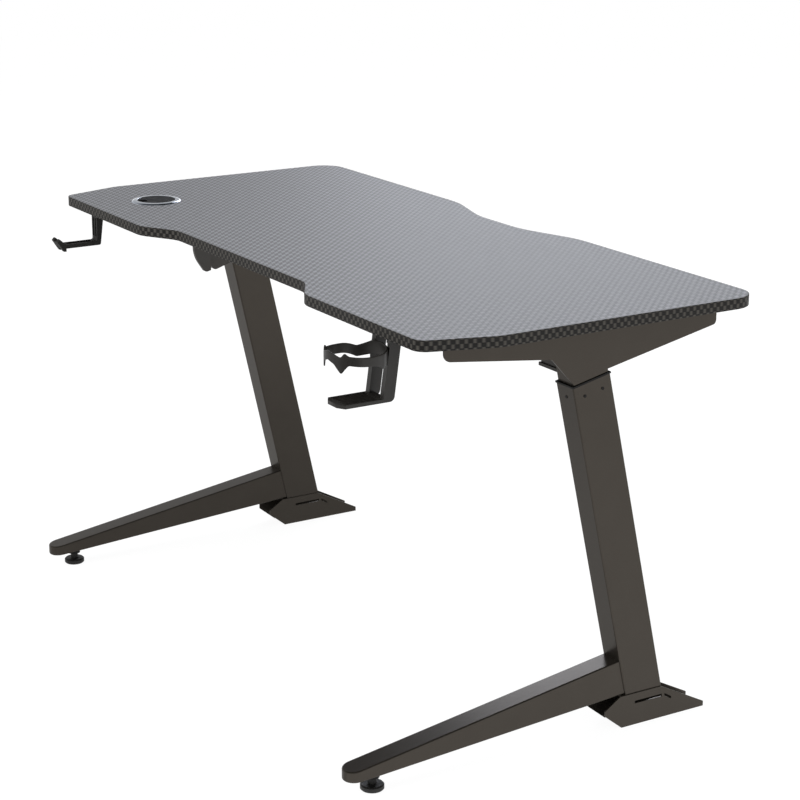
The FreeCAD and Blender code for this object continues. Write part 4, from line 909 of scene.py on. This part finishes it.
@dataclass
class Studio:
    """Pale floor, white surroundings, dark tent and cards in reflections, soft lights and the camera."""

    floor_half: float = 9.0
    ambient: float = 0.5
    glow: float = 0.85
    floor_light: float = 1.1
    tent_radius: float = 7.0
    tent_height: float = 6.0
    tent_steps: int = 48
    tent_hem: float = 0.3
    tent_crown: float = 0.49 * math.pi
    tent_left: float = 0.55
    left_end: float = -6.5
    dark_from: float = -2.0
    black: float = 0.02
    card_height: float = 2.0 * MM
    eye: Point = (3.2761, -1.8861, 1.5535)
    look: Point = (-0.81996, 0.49864, -0.28112)
    lens: float = 96.909
    sensor: float = 36.0

    def seen(self, tree: bpy.types.NodeTree) -> bpy.types.NodeSocket:
        """Tell rays that show the surroundings from rays that only carry light.

        Args:
            tree: nodes of the floor or the world.

        Returns:
            One for camera, glossy and transmitted rays, and zero for the rest.
        """
        path = add_node(tree, "ShaderNodeLightPath").outputs
        shown = combine(tree, "MAXIMUM", path["Is Camera Ray"], path["Is Glossy Ray"])
        return combine(tree, "MAXIMUM", shown, path["Is Transmission Ray"])

    def lay_floor(self) -> None:
        """Lay a pale floor that reads as white and keeps a soft shadow."""
        reach = self.floor_half
        mesh = bpy.data.meshes.new("studio_floor")
        corners = [(-reach, -reach, 0), (reach, -reach, 0), (reach, reach, 0), (-reach, reach, 0)]
        mesh.from_pydata(corners, [], [(0, 1, 2, 3)])
        floor = bpy.data.objects.new("studio_floor", mesh)
        bpy.context.scene.collection.objects.link(floor)
        paint = blank_material("pale_studio_floor")
        tree = paint.node_tree
        matt = add_node(tree, "ShaderNodeBsdfDiffuse", {"Color": linear("#EDEDED")}).outputs[0]
        white = add_node(tree, "ShaderNodeEmission",
                         {"Color": linear("#FFFFFF"), "Strength": self.floor_light}).outputs[0]
        share = combine(tree, "MULTIPLY", self.seen(tree), self.glow)
        mixed = add_node(tree, "ShaderNodeMixShader", {0: share, 1: matt, 2: white}).outputs[0]
        add_node(tree, "ShaderNodeOutputMaterial", {"Surface": mixed})
        mesh.materials.append(paint)

    def hang_cloth(self, name: str, points: np.ndarray, faces: np.ndarray, main: float, left: float) -> None:
        """Put up cloth that only reflections show, as a photographer flags the glare off dark paint. Its
        brightness is a painted glow; on the cards in the heels and under the desk, it is painted shade.

        Args:
            name: the cloth's name.
            points: its points.
            faces: its quads.
            main: its brightness over most of the set.
            left: its brightness at the set's left end, from where it goes evenly to the main brightness.
        """
        mesh = bpy.data.meshes.new(name)
        mesh.from_pydata(points.tolist(), [], faces.tolist())
        cloth = bpy.data.objects.new(name, mesh)
        bpy.context.scene.collection.objects.link(cloth)
        painted_light = blank_material(f"{name}_dye")
        tree = painted_light.node_tree
        place = add_node(tree, "ShaderNodeTexCoord").outputs["Object"]
        along = add_node(tree, "ShaderNodeSeparateXYZ", {0: place}).outputs[0]
        level = remap(tree, along, (self.left_end, self.dark_from), (left, main))
        glow = add_node(tree, "ShaderNodeEmission",
                        {"Color": linear("#FFFFFF"), "Strength": level}).outputs[0]
        add_node(tree, "ShaderNodeOutputMaterial", {"Surface": glow})
        mesh.materials.append(painted_light)
        for ray in ("camera", "diffuse", "transmission", "shadow", "volume_scatter"):
            setattr(cloth, f"visible_{ray}", False)

    def flag(self) -> None:
        """Hang a dark tent over the set and lay cards.

        The tent is part of half an ellipsoid: at angle a and slope b its point is
        (R cos a cos b, R sin a cos b, H sin b). One card is grey, under most of the desk and to its front and
        left: it flags the glare off the front faces, and under the desk it is painted shade for the desk's
        shadow on the floor. The others are black: one at the front right flags glare, and one in each heel is
        painted shade for the heel's shadow on the floor.
        """
        angle = np.linspace(0.0, 2 * math.pi, self.tent_steps, endpoint=False)[:, None]
        slope = np.linspace(self.tent_hem, self.tent_crown, self.tent_steps // 3)[None, :]
        spots = np.stack(np.broadcast_arrays(self.tent_radius * np.cos(angle) * np.cos(slope),
                                             self.tent_radius * np.sin(angle) * np.cos(slope),
                                             self.tent_height * np.sin(slope)), axis=-1)
        faces = grid_faces(self.tent_steps, slope.shape[1], True, False)
        self.hang_cloth("studio_tent", spots.reshape(-1, 3), faces, self.black, self.tent_left)
        # Painted shade: where the grey card reaches under the desk, it stands in for the desk's shadow on the
        # floor in reflections; elsewhere it and the black card at the front right are flags.
        cards = [Card("studio_card", (-5.0, -4.0), (0.58, 0.9), 0.62),
                 Card("studio_shade", (0.75, -4.0), (4.0, -0.7), self.black)]
        # Painted shade: a black card inside each heel stands in for the heel's shadow on the floor in
        # reflections.
        for side in Side:
            low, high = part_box(f"{side.value}_heel_base")
            cards.append(Card(f"{side.value}_heel_shade", low, high, self.black))
        for card in cards:
            low, high = card.low, card.high
            spots = [(low[0], low[1]), (high[0], low[1]), (high[0], high[1]), (low[0], high[1])]
            points = np.array([(x, y, self.card_height) for x, y in spots])
            self.hang_cloth(card.name, points, np.array([[0, 1, 2, 3]]), card.level, card.level)

    def light(self) -> None:
        """Light the world evenly and hang the soft boxes."""
        world = bpy.data.worlds.new("studio_world")
        bpy.context.scene.world = world
        world.use_nodes = True
        tree = world.node_tree
        tree.nodes.clear()
        fill = add_node(tree, "ShaderNodeBackground",
                        {"Color": linear("#FFFFFF"), "Strength": self.ambient}).outputs[0]
        white = add_node(tree, "ShaderNodeBackground",
                         {"Color": linear("#FFFFFF"), "Strength": 1.0}).outputs[0]
        mixed = add_node(tree, "ShaderNodeMixShader", {0: self.seen(tree), 1: fill, 2: white}).outputs[0]
        add_node(tree, "ShaderNodeOutputWorld", {"Surface": mixed})
        for lamp in (SoftBox("front_box", (-0.8, -4.2, 2.6), 2.4, 2.4, 0.4),
                     SoftBox("end_box", (4.6, 0.6, 2.2), 2.2, 2.2, 0.2),
                     SoftBox("top_box", (0.2, 0.0, 3.6), 2.6, 2.6, 0.45),
                     SoftBox("back_box", (-2.5, 2.3, 1.9), 1.7, 1.5, 0.25, mirrored=True, tint="#F0F4FF")):
            lamp.hang()

    def stand_camera(self) -> None:
        """Stand the camera where the photograph was taken from."""
        camera = bpy.data.cameras.new("photo_camera")
        camera.lens = self.lens
        camera.sensor_width = self.sensor
        holder = bpy.data.objects.new("photo_camera", camera)
        holder.location = self.eye
        holder.rotation_euler = Vector(self.look).to_track_quat("-Z", "Y").to_euler()
        bpy.context.scene.collection.objects.link(holder)
        bpy.context.scene.camera = holder

    def build(self) -> None:
        """Set up the floor, the tent and cards, the light and the camera."""
        self.lay_floor()
        self.flag()
        self.light()
        self.stand_camera()
        bpy.context.scene.view_settings.view_transform = "Standard"


def main() -> None:
    """Build the desk's sub-assemblies in order, then the studio."""
    logging.basicConfig(level=logging.INFO, format="%(name)s %(message)s")
    for part in (Desktop(), Grommet(), LiftingLeg(Side.LEFT), LiftingLeg(Side.RIGHT), Underframe(),
                 Controls(), HeadphoneHook(), CupHolder(), Studio()):
        part.build()
        LOG.info("built %s", type(part).__name__)
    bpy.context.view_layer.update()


if __name__ == "__main__":
    main()
